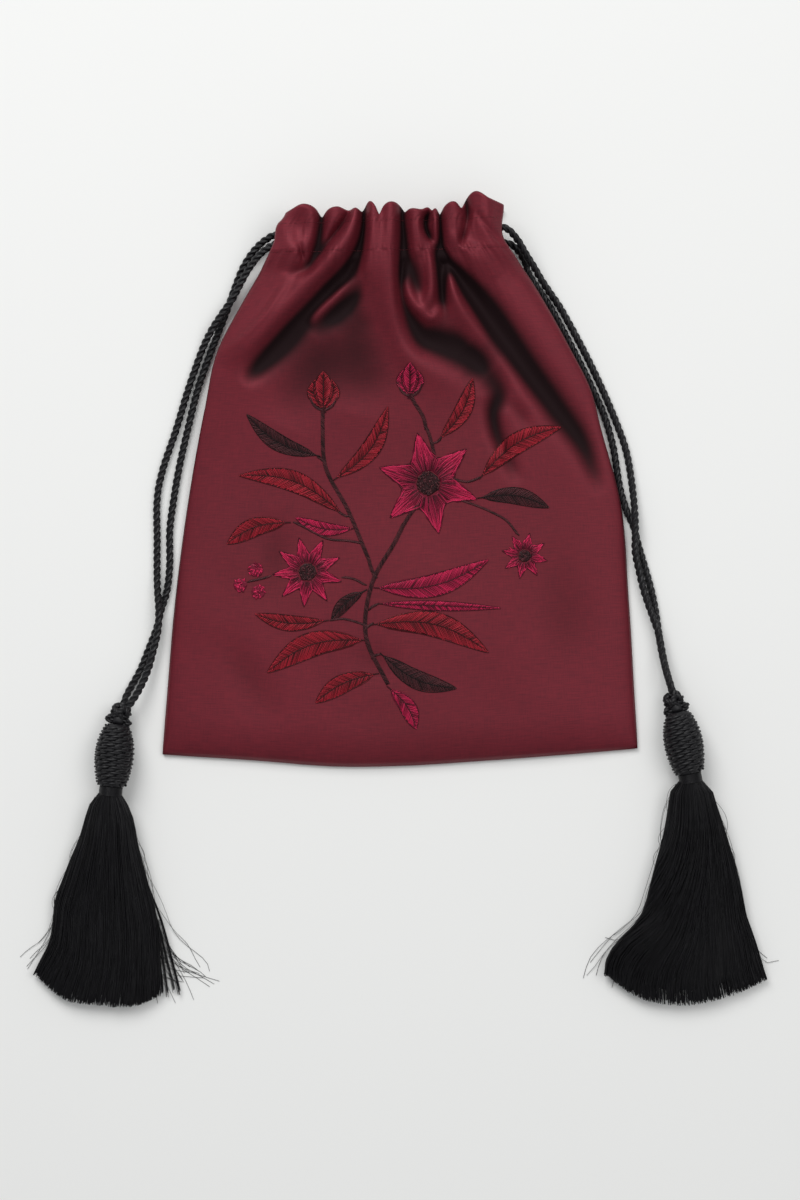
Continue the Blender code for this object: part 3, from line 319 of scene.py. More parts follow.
def colour_of(name, description, code):
    """A colour that a user can change, from its sRGB hex code."""
    return FloatVectorProperty(name=name, description=description, default=hex_colour(code),
                               subtype="COLOR", size=3)


class TapestryCloth(bpy.types.PropertyGroup):
    """The bag's cloth."""
    columns: number_of("Columns", "Mesh columns across each panel", 196, 20)
    body_rows: number_of("Body rows", "Mesh rows from hem to casing", 168, 20)
    thickness: length_of("Thickness", "Thickness of the cloth with its turned edges", CLOTH)
    pucker: length_of("Pucker", "Height of the small gathers at the casing", 0.5 * MM)
    colour: colour_of("Colour", "Dark red of the cloth lying flat", "72222D")
    rib_colour: colour_of("Rib colour", "Dusky weft that shows between ribs", "621F2A")
    # near black of the painted shade in deep folds and on the facings
    painted_shade_colour: colour_of("Painted shade colour", "Near black of the deep folds", "150609")
    rib_spacing: length_of("Rib spacing", "Spacing of the weft ribs as drawn", 0.55 * MM)


class TapestryStitching(bpy.types.PropertyGroup):
    """The embroidery and the casing's seams."""
    thread: length_of("Thread", "Width of one embroidery stitch as drawn", 0.68 * MM)
    spacing: length_of("Spacing", "Distance between neighbouring stitches", 0.84 * MM)
    seam_stitch: length_of("Seam stitch", "Length of one stitch of the casing seams", 2.6 * MM)
    crimson: colour_of("Crimson", "Crimson embroidery thread", "901A29")
    magenta: colour_of("Magenta", "Magenta embroidery thread", "A81A44")
    plum: colour_of("Plum", "Dark plum embroidery thread", "431B20")


class TapestryCords(bpy.types.PropertyGroup):
    """The drawstrings and the cord wound on the tassel heads."""
    diameter: length_of("Diameter", "Diameter of the drawstrings", CORD_DIAMETER)
    lay: length_of("Lay", "Length of one full twist of the three strands", 10.5 * MM)
    wound: length_of("Wound cord", "Diameter of the cord wound on the heads", 2.8 * MM)
    colour: colour_of("Silk", "Black of the cords and tassels", "0E0D10")


class TapestrySkirts(bpy.types.PropertyGroup):
    """The tassels' skirts of loose threads."""
    threads: number_of("Threads", "Threads drawn in each skirt", 1800, 50)
    thread: length_of("Thread", "Width of one skirt thread as drawn", 0.42 * MM)
    strays: number_of("Strays", "Loose threads that leave each skirt", 34, 0)
    loops: number_of("Loops", "Threads that bow out from each skirt", 12, 0)


class TapestryStage(bpy.types.PropertyGroup):
    """Floor, lights and camera."""
    distance: length_of("Camera distance", "Height of the camera above the floor", 1.7)
    floor: colour_of("Floor", "White of the surface", "F0F0EE")
    key: FloatProperty(name="Key light", description="Power of the soft light from the upper left",
                       default=30.5, unit="POWER")
    sky: FloatProperty(name="Room light", description="Strength of the light from the room",
                       default=0.42)


def settings():
    """The property groups of this scene."""
    return bpy.context.scene.tapestry_bag


# Mesh and node helpers

def follow(table, at):
    """Smooth curve through a table of (position, value) pairs, read at many positions."""
    knots = np.array([row[0] for row in table], float)
    values = np.array([row[1] for row in table], float)
    slopes = np.gradient(values, knots)
    at = np.clip(np.asarray(at, float), knots[0], knots[-1])
    i = np.clip(np.searchsorted(knots, at) - 1, 0, len(knots) - 2)
    span = knots[i + 1] - knots[i]
    t = (at - knots[i]) / span
    return ((1 + 2 * t) * (1 - t) ** 2 * values[i] + t * (1 - t) ** 2 * span * slopes[i]
            + t * t * (3 - 2 * t) * values[i + 1] + t * t * (t - 1) * span * slopes[i + 1])


def straight(table, at):
    """Straight lines through a table of (position, value) pairs."""
    return np.interp(at, [row[0] for row in table], [row[1] for row in table])


def ease(t):
    """Smooth step from 0 to 1."""
    t = np.clip(t, 0, 1)
    return t * t * (3 - 2 * t)


def soft_max(a, b, blend):
    """The larger of two heights, with a rounded change-over."""
    return (a + b + np.sqrt((a - b) ** 2 + blend ** 2)) / 2


def smooth_path(points, steps):
    """Catmull-Rom curve through rows of numbers, with so many steps for each pair of points."""
    rows = np.array(points, float)
    padded = np.vstack([2 * rows[0] - rows[1], rows, 2 * rows[-1] - rows[-2]])
    out = []
    for i in range(len(rows) - 1):
        a, b, c, d = padded[i:i + 4]
        for k in range(steps):
            t = k / steps
            out.append(0.5 * (2 * b + (c - a) * t + (2 * a - 5 * b + 4 * c - d) * t ** 2
                              + (3 * b - a - 3 * c + d) * t ** 3))
    out.append(rows[-1])
    return np.array(out)


def distances(points):
    """Length along a line of points, up to each of them."""
    return np.concatenate([[0], np.cumsum(np.linalg.norm(np.diff(points, axis=0), axis=1))])


def place(name, mesh, material=None):
    """Link a finished mesh as an object at the origin."""
    made = bpy.data.objects.new(name, mesh)
    bpy.context.scene.collection.objects.link(made)
    if material is not None:
        mesh.materials.clear()
        mesh.materials.append(material)
    return made


def place_bmesh(name, bm, material=None):
    """Link what a bmesh holds as an object at the origin, and free it."""
    mesh = bpy.data.meshes.new(name)
    bm.to_mesh(mesh)
    bm.free()
    return place(name, mesh, material)


def frozen(made):
    """An object's mesh with its modifiers applied; the object itself goes."""
    made.data.update_tag()
    graph = bpy.context.evaluated_depsgraph_get()
    mesh = bpy.data.meshes.new_from_object(made.evaluated_get(graph))
    bpy.data.objects.remove(made)
    return mesh


def give_points(mesh, label, values):
    """Store one value for each vertex under a name."""
    mesh.attributes.new(label, "FLOAT", "POINT").data.foreach_set("value", values)


def shade_smooth(made):
    """Smooth shading on every face."""
    made.data.polygons.foreach_set("use_smooth", [True] * len(made.data.polygons))
    return made


def add_node(tree, kind, inputs=None, **values):
    """Add a node with its settings; an input is a value, or the socket that feeds it."""
    made = tree.nodes.new(kind)
    for key, value in values.items():
        setattr(made, key, value)
    for key, value in (inputs or {}).items():
        if isinstance(value, bpy.types.NodeSocket):
            tree.links.new(value, made.inputs[key])
        else:
            made.inputs[key].default_value = value
    return made


def math(tree, operation, a, b=0.0):
    """Result of a Math node on two numbers or sockets."""
    return add_node(tree, "ShaderNodeMath", {0: a, 1: b}, operation=operation).outputs[0]


def new_tree(name, inputs):
    """An empty Geometry Nodes tree with named inputs after its geometry."""
    tree = bpy.data.node_groups.new(name, "GeometryNodeTree")
    face = tree.interface
    face.new_socket("Geometry", in_out="INPUT", socket_type="NodeSocketGeometry")
    face.new_socket("Geometry", in_out="OUTPUT", socket_type="NodeSocketGeometry")
    for label, kind, value in inputs:
        socket = face.new_socket(label, in_out="INPUT", socket_type=kind)
        if value is not None:
            socket.default_value = value
    return tree, tree.nodes.new("NodeGroupInput")


def store_value(tree, geometry, name, value):
    """Geometry that carries a value for each point under a name."""
    return add_node(tree, "GeometryNodeStoreNamedAttribute",
                    {"Geometry": geometry, "Name": name, "Value": value},
                    data_type="FLOAT", domain="POINT").outputs[0]


def close_tree(tree, geometry, surface):
    """End a tree in Realize Instances and Set Material."""
    solid = add_node(tree, "GeometryNodeRealizeInstances", {"Geometry": geometry})
    dressed = add_node(tree, "GeometryNodeSetMaterial",
                       {"Geometry": solid.outputs[0], "Material": surface})
    out = tree.nodes.new("NodeGroupOutput")
    tree.links.new(dressed.outputs[0], out.inputs[0])
    return tree


def laid_cord_tree():
    """Sweeps a lobed section along lines, turned as the strands of a laid cord lie."""
    tree, start = new_tree("laid_cord", [
        ("Diameter", "NodeSocketFloat", CORD_DIAMETER), ("Lay", "NodeSocketFloat", 10.5 * MM),
        ("Step", "NodeSocketFloat", 0.8 * MM), ("Strands", "NodeSocketInt", 3),
        ("Points", "NodeSocketInt", 21), ("Material", "NodeSocketMaterial", None)])
    give = start.outputs
    calc = partial(math, tree)
    line = add_node(tree, "GeometryNodeMeshToCurve", {"Mesh": give["Geometry"]})
    even = add_node(tree, "GeometryNodeResampleCurve",
                    {"Curve": line.outputs[0], "Length": give["Step"]}, mode="LENGTH")
    along = add_node(tree, "GeometryNodeSplineParameter").outputs["Length"]
    tilt = calc("MULTIPLY", calc("DIVIDE", along, give["Lay"]), 2 * pi)
    tilted = add_node(tree, "GeometryNodeSetCurveTilt", {"Curve": even.outputs[0], "Tilt": tilt})
    marked = store_value(tree, tilted.outputs[0], "along", along)
    # section: as many touching strands as the cord has, one arc for each
    circle = add_node(tree, "GeometryNodeCurvePrimitiveCircle",
                      {"Resolution": give["Points"], "Radius": 1.0})
    position = add_node(tree, "GeometryNodeInputPosition").outputs[0]
    split = add_node(tree, "ShaderNodeSeparateXYZ", {0: position})
    angle = calc("ARCTAN2", split.outputs[1], split.outputs[0])
    sector = calc("DIVIDE", 2 * pi, give["Strands"])
    half = calc("MULTIPLY", sector, 0.5)
    off = calc("SUBTRACT", calc("FLOORED_MODULO", calc("ADD", angle, half), sector), half)
    centre = calc("DIVIDE", 1.0, calc("ADD", 1.0, calc("SINE", half)))
    strand = calc("MULTIPLY", calc("SUBTRACT", 1.0, centre), STRAND_OVERLAP)
    swing = calc("MULTIPLY", centre, calc("SINE", off))
    inside = calc("SUBTRACT", calc("MULTIPLY", strand, strand), calc("MULTIPLY", swing, swing))
    arc = calc("SQRT", calc("MAXIMUM", inside, 0.0))
    reach = calc("ADD", calc("MULTIPLY", centre, calc("COSINE", off)), arc)
    radius = calc("MULTIPLY", reach, calc("MULTIPLY", give["Diameter"], 0.5))
    moved = add_node(tree, "ShaderNodeVectorMath", {0: position, "Scale": radius},
                     operation="SCALE")
    section = add_node(tree, "GeometryNodeSetPosition",
                       {"Geometry": circle.outputs[0], "Position": moved.outputs[0]})
    named = store_value(tree, section.outputs[0], "around", off)
    swept = add_node(tree, "GeometryNodeCurveToMesh",
                     {"Curve": marked, "Profile Curve": named, "Fill Caps": True})
    return close_tree(tree, swept.outputs[0], give["Material"])


def threads_tree():
    """Sweeps a small round section along many lines, each with its own width."""
    tree, start = new_tree("threads", [
        ("Width", "NodeSocketFloat", 0.5 * MM), ("Sides", "NodeSocketInt", 3),
        ("Material", "NodeSocketMaterial", None)])
    give = start.outputs
    line = add_node(tree, "GeometryNodeMeshToCurve", {"Mesh": give["Geometry"]})
    width = add_node(tree, "GeometryNodeInputNamedAttribute", {"Name": "width"},
                     data_type="FLOAT").outputs[0]
    sized = add_node(tree, "GeometryNodeSetCurveRadius",
                     {"Curve": line.outputs[0], "Radius": width})
    circle = add_node(tree, "GeometryNodeCurvePrimitiveCircle",
                      {"Resolution": give["Sides"],
                       "Radius": math(tree, "MULTIPLY", give["Width"], 0.5)})
    swept = add_node(tree, "GeometryNodeCurveToMesh",
                     {"Curve": sized.outputs[0], "Profile Curve": circle.outputs[0],
                      "Scale": width, "Fill Caps": True})
    return close_tree(tree, swept.outputs[0], give["Material"])


TREES = {}


def tree_of(builder):
    """The tree that a function builds, made once."""
    key = builder.__name__
    if key not in TREES:
        TREES[key] = builder()
    return TREES[key]


def lines_mesh(name, lines, widths=None, shades=None):
    """A mesh of open chains of points, with a width and a shade for each line."""
    counts = [len(line) for line in lines]
    points = np.vstack(lines)
    edges = []
    first = 0
    for count in counts:
        edges += [(k, k + 1) for k in range(first, first + count - 1)]
        first += count
    mesh = bpy.data.meshes.new(name)
    mesh.from_pydata(points.tolist(), edges, [])
    for label, rows in (("width", widths), ("shade", shades)):
        if rows is not None:
            data = [np.broadcast_to(row, count) for count, row in zip(counts, rows)]
            give_points(mesh, label, np.concatenate(data))
    return place(name + "_lines", mesh)


def sweep(name, source, builder, **inputs):
    """Run a tree on a mesh of lines and keep the result as a plain mesh."""
    tree = tree_of(builder)
    modifier = source.modifiers.new("sweep", "NODES")
    modifier.node_group = tree
    for item in tree.interface.items_tree:
        if item.in_out == "INPUT" and item.name in inputs:
            modifier[item.identifier] = inputs[item.name]
    source.update_tag()
    mesh = frozen(source)
    mesh.name = name
    return shade_smooth(place(name, mesh))


def join_meshes(name, parts):
    """Put several plain pieces of one material together as one."""
    bm = bmesh.new()
    surface = parts[0].data.materials[0]
    for part in parts:
        bm.from_mesh(part.data)
        bpy.data.objects.remove(part)
    return place_bmesh(name, bm, surface)


def skin_rings(name, rings, material):
    """Closed skin over a row of rings, capped at both ends."""
    bm = bmesh.new()
    loops = [[bm.verts.new(p) for p in ring] for ring in rings]
    for a, b in zip(loops[:-1], loops[1:]):
        for k in range(len(a)):
            n = (k + 1) % len(a)
            bm.faces.new((a[k], a[n], b[n], b[k]))
    for loop, sense in ((loops[0], -1), (loops[-1], 1)):
        bm.faces.new(loop[::sense])
    bmesh.ops.recalc_face_normals(bm, faces=bm.faces)
    return shade_smooth(place_bmesh(name, bm, material))


def belongs(piece, slot, *nodes):
    """Seat a piece on the bag's root body and hide the solids that it stands for; the slot is not
    used.
    """
    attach(piece, "root")
    if nodes:
        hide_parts(*nodes)
    return piece


# Materials

def base_material(name, **sockets):
    """A Principled material with values straight on the shader's sockets."""
    made = bpy.data.materials.new(name)
    made.use_nodes = True
    tree = made.node_tree
    shader = tree.nodes["Principled BSDF"]
    for key, value in sockets.items():
        shader.inputs[key.replace("_", " ")].default_value = value
    return made, tree, shader


def rgba(colour, gain=1.0):
    """Four channels of a colour made lighter or darker by one factor."""
    return (*(min(1.0, c * gain) for c in colour), 1.0)


def feed(shader, **sockets):
    """Link sockets to a shader's inputs."""
    for key, socket in sockets.items():
        shader.id_data.links.new(socket, shader.inputs[key.replace("_", " ")])


def stored(tree, name):
    """The value that the mesh carries under a name."""
    return add_node(tree, "ShaderNodeAttribute", attribute_name=name).outputs["Fac"]


def scaled(tree, vector, scale):
    """A texture vector stretched on its three axes."""
    return add_node(tree, "ShaderNodeMapping", {0: vector, "Scale": scale}).outputs[0]


def noise(tree, vector, scale, detail, **more):
    """Height of a noise texture."""
    return add_node(tree, "ShaderNodeTexNoise",
                    {"Vector": vector, "Scale": scale, "Detail": detail, **more}).outputs[0]


def object_noise(tree, scale, detail):
    """Height of a noise texture on the piece's own coordinates."""
    where = add_node(tree, "ShaderNodeTexCoord").outputs["Object"]
    return noise(tree, where, scale, detail)


def remap(tree, value, low, high, least=0.0, most=1.0):
    """A value moved from one range to another."""
    return add_node(tree, "ShaderNodeMapRange",
                    {0: value, 1: low, 2: high, 3: least, 4: most}).outputs[0]


def blend(tree, share, first, second):
    """A colour between two others."""
    return add_node(tree, "ShaderNodeMix", {0: share, 6: first, 7: second},
                    data_type="RGBA").outputs[2]


def emboss(tree, shader, strength, height, depth=0.08 * MM):
    """Fine relief of a height on the shader's normal."""
    bump = add_node(tree, "ShaderNodeBump",
                    {"Strength": strength, "Distance": depth, "Height": height})
    feed(shader, Normal=bump.outputs[0])


def shot_taffeta(cloth):
    """Shot taffeta: red warp over a dusky weft, crisp and half glossy, with fine uneven ribs.

    The broad coloured gloss makes ridges glow and turns the sides of folds dark; deep folds and the
    facings also get painted shade, their colour mixed towards a near black.
    """
    made, tree, shader = base_material(
        "shot_taffeta", Metallic=0.4, Roughness=0.56, Sheen_Weight=0.05, Sheen_Roughness=0.3,
        Sheen_Tint=rgba(hex_colour("C8B4B4")), Specular_IOR_Level=0.25)
    flat = add_node(tree, "ShaderNodeUVMap", uv_map="flat").outputs[0]
    # weft ribs are under 0.3 mm apart on the real cloth, and are drawn at rib_spacing to show
    ribs = scaled(tree, flat, (120.0, 1 / cloth.rib_spacing, 1.0))
    ends = scaled(tree, flat, (1 / cloth.rib_spacing, 150.0, 1.0))
    weft = math(tree, "MULTIPLY", noise(tree, ribs, 1.0, 3.0, Roughness=0.6), 0.65)
    warp = math(tree, "MULTIPLY", noise(tree, ends, 1.0, 2.0), 0.35)
    weave = math(tree, "ADD", weft, warp)
    mixed = blend(tree, remap(tree, weave, 0.36, 0.64), rgba(cloth.rib_colour),
                  rgba(cloth.colour, 1.05))
    cloudy = remap(tree, noise(tree, flat, 14.0, 2.0), 0.3, 0.7, 0.93, 1.07)
    toned = add_node(tree, "ShaderNodeVectorMath", {0: mixed, "Scale": cloudy}, operation="SCALE")
    # painted shade: deep folds and the facings are mixed towards a near black, and made rougher
    hollow = stored(tree, "hollow")
    feed(shader, Base_Color=blend(tree, hollow, toned.outputs[0], rgba(cloth.painted_shade_colour)),
         Roughness=remap(tree, hollow, 0.0, 1.0, 0.54, 0.75))
    emboss(tree, shader, 0.14, weave, 0.06 * MM)
    return made


def embroidery_thread(name, colour):
    """Rayon machine embroidery thread: bright twisted filament, glossy along each stitch."""
    made, tree, shader = base_material(name, Roughness=0.4, Metallic=0.35, Sheen_Weight=0.03,
                                       Specular_IOR_Level=0.3)
    feed(shader, Base_Color=blend(tree, stored(tree, "shade"), rgba(colour, 0.12),
                                  rgba(colour, 1.45)))
    emboss(tree, shader, 0.35, object_noise(tree, 2600.0, 1.0))
    return made


def silk_cord(name, colour):
    """Laid viscose silk cord: fine filaments that lie against the twist, with a soft gloss."""
    made, tree, shader = base_material(
        name, Roughness=0.46, Sheen_Weight=0.09, Sheen_Roughness=0.4,
        Sheen_Tint=rgba(hex_colour("8A8694")), Specular_IOR_Level=0.36)
    # filaments are finer than a pixel, and are drawn eleven to a strand
    phase = math(tree, "ADD", math(tree, "MULTIPLY", stored(tree, "around"), 11.0),
                 math(tree, "MULTIPLY", stored(tree, "along"), 2 * pi / (2.2 * MM)))
    emboss(tree, shader, 0.35, math(tree, "SINE", phase))
    feed(shader, Base_Color=blend(tree, object_noise(tree, 700.0, 2.0), rgba(colour, 0.7),
                                  rgba(colour, 1.5)))
    return made


def silk_floss(name, colour):
    """Loose viscose silk threads: near black, each with a narrow soft highlight along it."""
    made, tree, shader = base_material(
        name, Roughness=0.4, Sheen_Weight=0.03, Sheen_Roughness=0.3,
        Sheen_Tint=rgba(hex_colour("7A7684")), Specular_IOR_Level=0.28)
    shade = stored(tree, "shade")
    fuzz = remap(tree, object_noise(tree, 900.0, 2.0), 0.3, 0.7, 0.34, 0.5)
    # the core inside the skirt, whose shade is 0, gets the darkest colour as painted shade, and
    # doesn't shine
    inner = remap(tree, shade, 0.0, 0.08, 0.45, 0.0)
    feed(shader, Base_Color=blend(tree, shade, rgba(colour, 0.5), rgba(colour, 1.45)),
         Roughness=math(tree, "ADD", fuzz, inner))
    return made


def beech_wood(name):
    """Turned beech: pale, fine straight grain, unfinished."""
    made, tree, shader = base_material(name, Roughness=0.6)
    where = add_node(tree, "ShaderNodeTexCoord").outputs["Object"]
    grain = noise(tree, scaled(tree, where, (900.0, 60.0, 900.0)), 1.0, 3.0)
    feed(shader, Base_Color=blend(tree, grain, rgba(hex_colour("A77C50")),
                                  rgba(hex_colour("CBA376"))))
    return made


MADE = {}


def finish_of(key, builder, *values):
    """A material made once and shared by the pieces of that finish."""
    if key not in MADE:
        MADE[key] = builder(*values)
    return MADE[key]


def cord_finish():
    """Black silk of the laid cords."""
    return finish_of("cord", silk_cord, "black_silk_cord", tuple(settings().cords.colour))


def floss_finish():
    """Black silk of the loose and fine threads."""
    return finish_of("floss", silk_floss, "black_silk_floss", tuple(settings().cords.colour))


def thread_finish(thread):
    """Embroidery thread of one of the three colours, by its name."""
    return finish_of(thread, embroidery_thread, thread + "_rayon_thread",
                     tuple(getattr(settings().stitching, thread)))


# Cloth

def fold_height(points, x, y, steps=8):
    """Height that one fold adds at many places: a rounded section along a curved spine."""
    spine = smooth_path(points, steps)
    best = np.full(x.shape, 1e9)
    wide = np.ones(x.shape)
    high = np.zeros(x.shape)
    for a, b in zip(spine[:-1], spine[1:]):
        run = b[:2] - a[:2]
        t = np.clip(((x - a[0]) * run[0] + (y - a[1]) * run[1]) / (run @ run), 0, 1)
        away = (x - a[0] - t * run[0]) ** 2 + (y - a[1] - t * run[1]) ** 2
        nearer = away < best
        best = np.where(nearer, away, best)
        wide = np.where(nearer, a[2] + t * (b[2] - a[2]), wide)
        high = np.where(nearer, a[3] + t * (b[3] - a[3]), high)
    return high * np.exp(-best / wide ** 2)


def folds_height(x, y):
    """Height that all the folds add, in millimetres."""
    return sum(fold_height(points, x, y) for points in FOLDS)


def outer_level(level):
    """The level on the outer layer that a place on the facing lies behind."""
    return np.where(level > TOP_LEVEL + 1, 2 * TOP_LEVEL + 1 - level, np.minimum(level, TOP_LEVEL))


def panel_plan(u, level):
    """x and y in millimetres of a panel's point, from its place across and along the cloth."""
    outer = outer_level(level)
    y_left = straight(LEVEL_LEFT, outer)
    y_right = straight(LEVEL_RIGHT, outer)
    inset = FACING_INSET * ease(level - TOP_LEVEL - 1) * (level > TOP_LEVEL + 1)
    across = (u * (1 - inset) + 1) / 2
    x_left = follow(LEFT_EDGE, y_left)
    x_right = follow(RIGHT_EDGE, y_right)
    x = x_left + (x_right - x_left) * across
    y = y_left + (y_right - y_left) * across
    hem_line = LEVEL_LEFT[0][1] + (LEVEL_RIGHT[0][1] - LEVEL_LEFT[0][1]) * across
    top_line = LEVEL_LEFT[-1][1] + (LEVEL_RIGHT[-1][1] - LEVEL_LEFT[-1][1]) * across
    y = y + (follow(HEM, x) - hem_line) * np.clip(1 - outer, 0, 1) ** 4
    y = y + (follow(MOUTH, x) - top_line) * ease(outer - 2)
    y = y + MOUTH_ROUND * np.sin(pi * np.clip(level - TOP_LEVEL, 0, 1))
    return x, y


def seam_height(y):
    """Height in millimetres of the side seam above the floor."""
    rise = ease((y - SEAM_RISE_FROM) / SEAM_RISE_OVER)
    return SEAM_BY_HEM / MM + (SEAM_BY_MOUTH - SEAM_BY_HEM) / MM * rise


def uneven(x, seed, longest, waves=7):
    """A smooth uneven line of heights between about -1 and 1, from waves of fixed random phase."""
    draw = np.random.default_rng(seed)
    total = np.zeros(np.shape(x))
    for _ in range(waves):
        length = longest * draw.uniform(0.35, 1.0)
        total = total + np.sin(2 * pi * x / length + draw.uniform(0, 2 * pi))
    return total / sqrt(waves) / 1.4


def fine_folds(u, level, x, y, pucker):
    """Small gathers at the stitch lines and slack waves on the body, in millimetres."""
    flat_x = u * BAG_WIDTH / MM / 2
    by_casing = np.exp(-((level - 1.04) / 0.05) ** 2) + 0.4 * np.exp(-((level - 2.05) / 0.5) ** 2)
    below = np.exp(-np.clip(1 - level, 0, 1) / 0.055) * (level < 1)
    gathers = uneven(flat_x + np.sin(level * 4), 3, GATHER_LENGTH)
    creases = uneven(flat_x, 5, CREASE_LENGTH)
    out = pucker / MM * (gathers * np.clip(by_casing, 0, 1) + 0.9 * creases * below)
    slack = uneven(x * 0.8 + y * 0.35, 8, 90) * uneven(y * 0.9 - x * 0.3, 9, 120)
    out = out + SLACK_HEIGHT * slack
    hem = np.exp(-np.clip(level, 0, 1) / 0.022)
    out = out + HEM_HEIGHT * uneven(flat_x, 14, HEM_LENGTH) * hem * ease((x + 40) / 60)
    return out


def turned_in(outer, level, sense, facing_z):
    """Heights past the mouth: the cloth turns over, and its facing drops to its own height."""
    frill = outer + sense * FRILL_LAYERS / MM * np.clip(level - TOP_LEVEL, 0, 1)
    drop = ease((level - TOP_LEVEL - FACING_DROP_FROM) / FACING_DROP_OVER)
    return frill + (facing_z / MM - frill) * drop


def front_point(u, level, pucker=0.0):
    """The front panel's centre surface, in metres: outside up to the mouth, then the facing."""
    x, y = panel_plan(u, level)
    out_level = outer_level(level)
    opened = ease((out_level - SEAM_OPENS_AT) / SEAM_OPENS_OVER)
    seam = seam_height(y) + (CLOTH + GAP) / MM / 2
    edge = seam + (FRONT_LOW / MM + EDGE_LIFT_BY_MOUTH - seam) * opened
    rise = np.clip((y - follow(HEM, x)) / HEM_ROUND, 0, 1)
    side = np.sqrt(np.clip(1 - np.abs(u) ** SIDE_ROUND_POWER, 0, 1))
    lift = side * np.sqrt(np.clip(1 - (1 - rise) ** 2, 0, 1))
    z = edge + (follow(CROWN, y) - edge) * lift
    calm = ease(1.15 * lift)
    z = z + folds_height(x, y) * calm
    z = z + fine_folds(u, out_level, x, y, pucker) * calm
    rising = ease((out_level - CASING_FLOOR_FROM) / SEAM_OPENS_OVER)
    floor = LEAST_FILLING + (FRONT_LOW / MM - LEAST_FILLING) * rising
    outer = np.where(calm > 0.3, soft_max(z, np.minimum(floor, edge + 40 * lift), 0.6), z)
    return x * MM, y * MM, turned_in(outer, level, -1, FRONT_FACING_Z) * MM


def front_painted_shade(u, level):
    """Painted shade of the front panel, by how deep in a fold a place lies: from 0 on open cloth to
    1, with a fixed painted shade on the facing.
    """
    x, y = panel_plan(u, level)
    depth = -folds_height(x, y) / PAINTED_SHADE_DEPTH
    return np.where(level > TOP_LEVEL + 1, FACING_PAINTED_SHADE, 0.98 * ease(depth))


def back_painted_shade(u, level):
    """Painted shade of the back panel: only its facing inside the mouth gets it."""
    return np.where(level > TOP_LEVEL + 1, FACING_PAINTED_SHADE, 0.0)


def back_point(u, level):
    """The back panel's centre surface, in metres: flat on the floor, gathered at the mouth."""
    x, y = panel_plan(u, level)
    opened = ease((outer_level(level) - SEAM_OPENS_AT) / SEAM_OPENS_OVER)
    low = BACK_LOW / MM
    seam = seam_height(y) - (CLOTH + GAP) / MM / 2
    rise = np.clip((np.abs(u) - BACK_RISE_FROM) / (1 - BACK_RISE_FROM), 0, 1) ** 2
    hem = np.clip(1 - (y - follow(HEM, x)) / (HEM_ROUND / 2), 0, 1) ** 2
    waves = BACK_PLEAT / MM * (0.5 - 0.5 * np.cos(BACK_WAVES * pi * (u + 1)))
    waves = waves * ease((y - BACK_WAVES_FROM) / BACK_WAVES_OVER)
    z = (low + (seam - low) * np.maximum(rise, hem) * (1 - opened)
         + waves * (1 - rise * (1 - opened)))
    return x * MM, y * MM, turned_in(z, level, 1, BACK_FACING_Z) * MM


def cloth_piece(name, surface_at, painted_shade_at, coarse, flip, cloth):
    """One panel: a fine grid bent to its surface, with the flat cloth's own UV map."""
    columns, body_rows = cloth.columns // coarse, cloth.body_rows // coarse
    steps = np.linspace(0, 1, body_rows + 1)[:-1]
    body = 0.45 * steps + 0.55 * np.sin(steps * pi / 2)
    levels = np.concatenate([body, np.linspace(1, TOP_LEVEL, FRILL_ROWS),
                             np.linspace(TOP_LEVEL, TOP_LEVEL + 1, TURN_ROWS)[1:],
                             np.linspace(TOP_LEVEL + 1, LAST_LEVEL, FACING_ROWS)[1:]])
    across = np.linspace(-1, 1, columns + 1)
    u, level = np.meshgrid(across, levels)
    x, y, z = surface_at(u.ravel(), level.ravel())
    wide = columns + 1
    corner = np.arange(len(levels) - 1)[:, None] * wide + np.arange(columns)[None, :]
    quads = np.stack([corner, corner + 1, corner + wide + 1, corner + wide], axis=-1).reshape(-1, 4)
    if flip:
        quads = quads[:, ::-1]
    mesh = bpy.data.meshes.new(name)
    mesh.from_pydata(np.stack([x, y, z], axis=1).tolist(), [], quads.tolist())
    flat = np.stack([u.ravel() * BAG_WIDTH / 2, straight(FLAT_LENGTH, level.ravel())], axis=1)
    mesh.uv_layers.new(name="flat").data.foreach_set("uv", flat[quads.ravel()].ravel())
    # painted shade of the folds and facings, stored on each vertex
    give_points(mesh, "hollow", painted_shade_at(u.ravel(), level.ravel()))
    made = shade_smooth(place(name, mesh, finish_of("cloth", shot_taffeta, cloth)))
    shell = made.modifiers.new("thickness", "SOLIDIFY")
    shell.thickness = cloth.thickness
    shell.offset = 0
    return made


def front_surface(u, level):
    """The front panel with its small gathers."""
    return front_point(u, level, settings().cloth.pucker)


SURFACE = {}


def keep_surface(made):
    """Remember the front panel's shape, so that stitches can be laid on it."""
    graph = bpy.context.evaluated_depsgraph_get()
    SURFACE["front"] = BVHTree.FromObject(made, graph)


def on_cloth(x, y, lift):
    """A point on the front panel's outside, so far above the cloth, from x and y in millimetres."""
    start = Vector((x * MM, y * MM, 0.1))
    hit, normal, _, _ = SURFACE["front"].ray_cast(start, Vector((0, 0, -1)))
    if hit is None:
        return None
    return hit + normal * lift


def seam_lines(rng):
    """Running stitches along both edges of the casing, on the front."""
    pitch = settings().stitching.seam_stitch
    lines = []
    for level in (1.0, 2.0):
        u = np.linspace(-0.985, 0.985, 1200)
        x, y, z = front_surface(u, np.full(u.shape, level))
        away = distances(np.stack([x, y, z], axis=1))
        at = 0.0
        while at < away[-1] - pitch:
            end = at + pitch * rng.uniform(0.72, 0.8)
            line = []
            for k in range(5):
                s = at + (end - at) * k / 4
                px, py = np.interp(s, away, x), np.interp(s, away, y)
                line.append(on_cloth(px / MM, py / MM, 0.14 * MM * sin(pi * k / 4) - 0.05 * MM))
            if None not in line:
                lines.append(np.array(line))
            at += pitch
    return lines


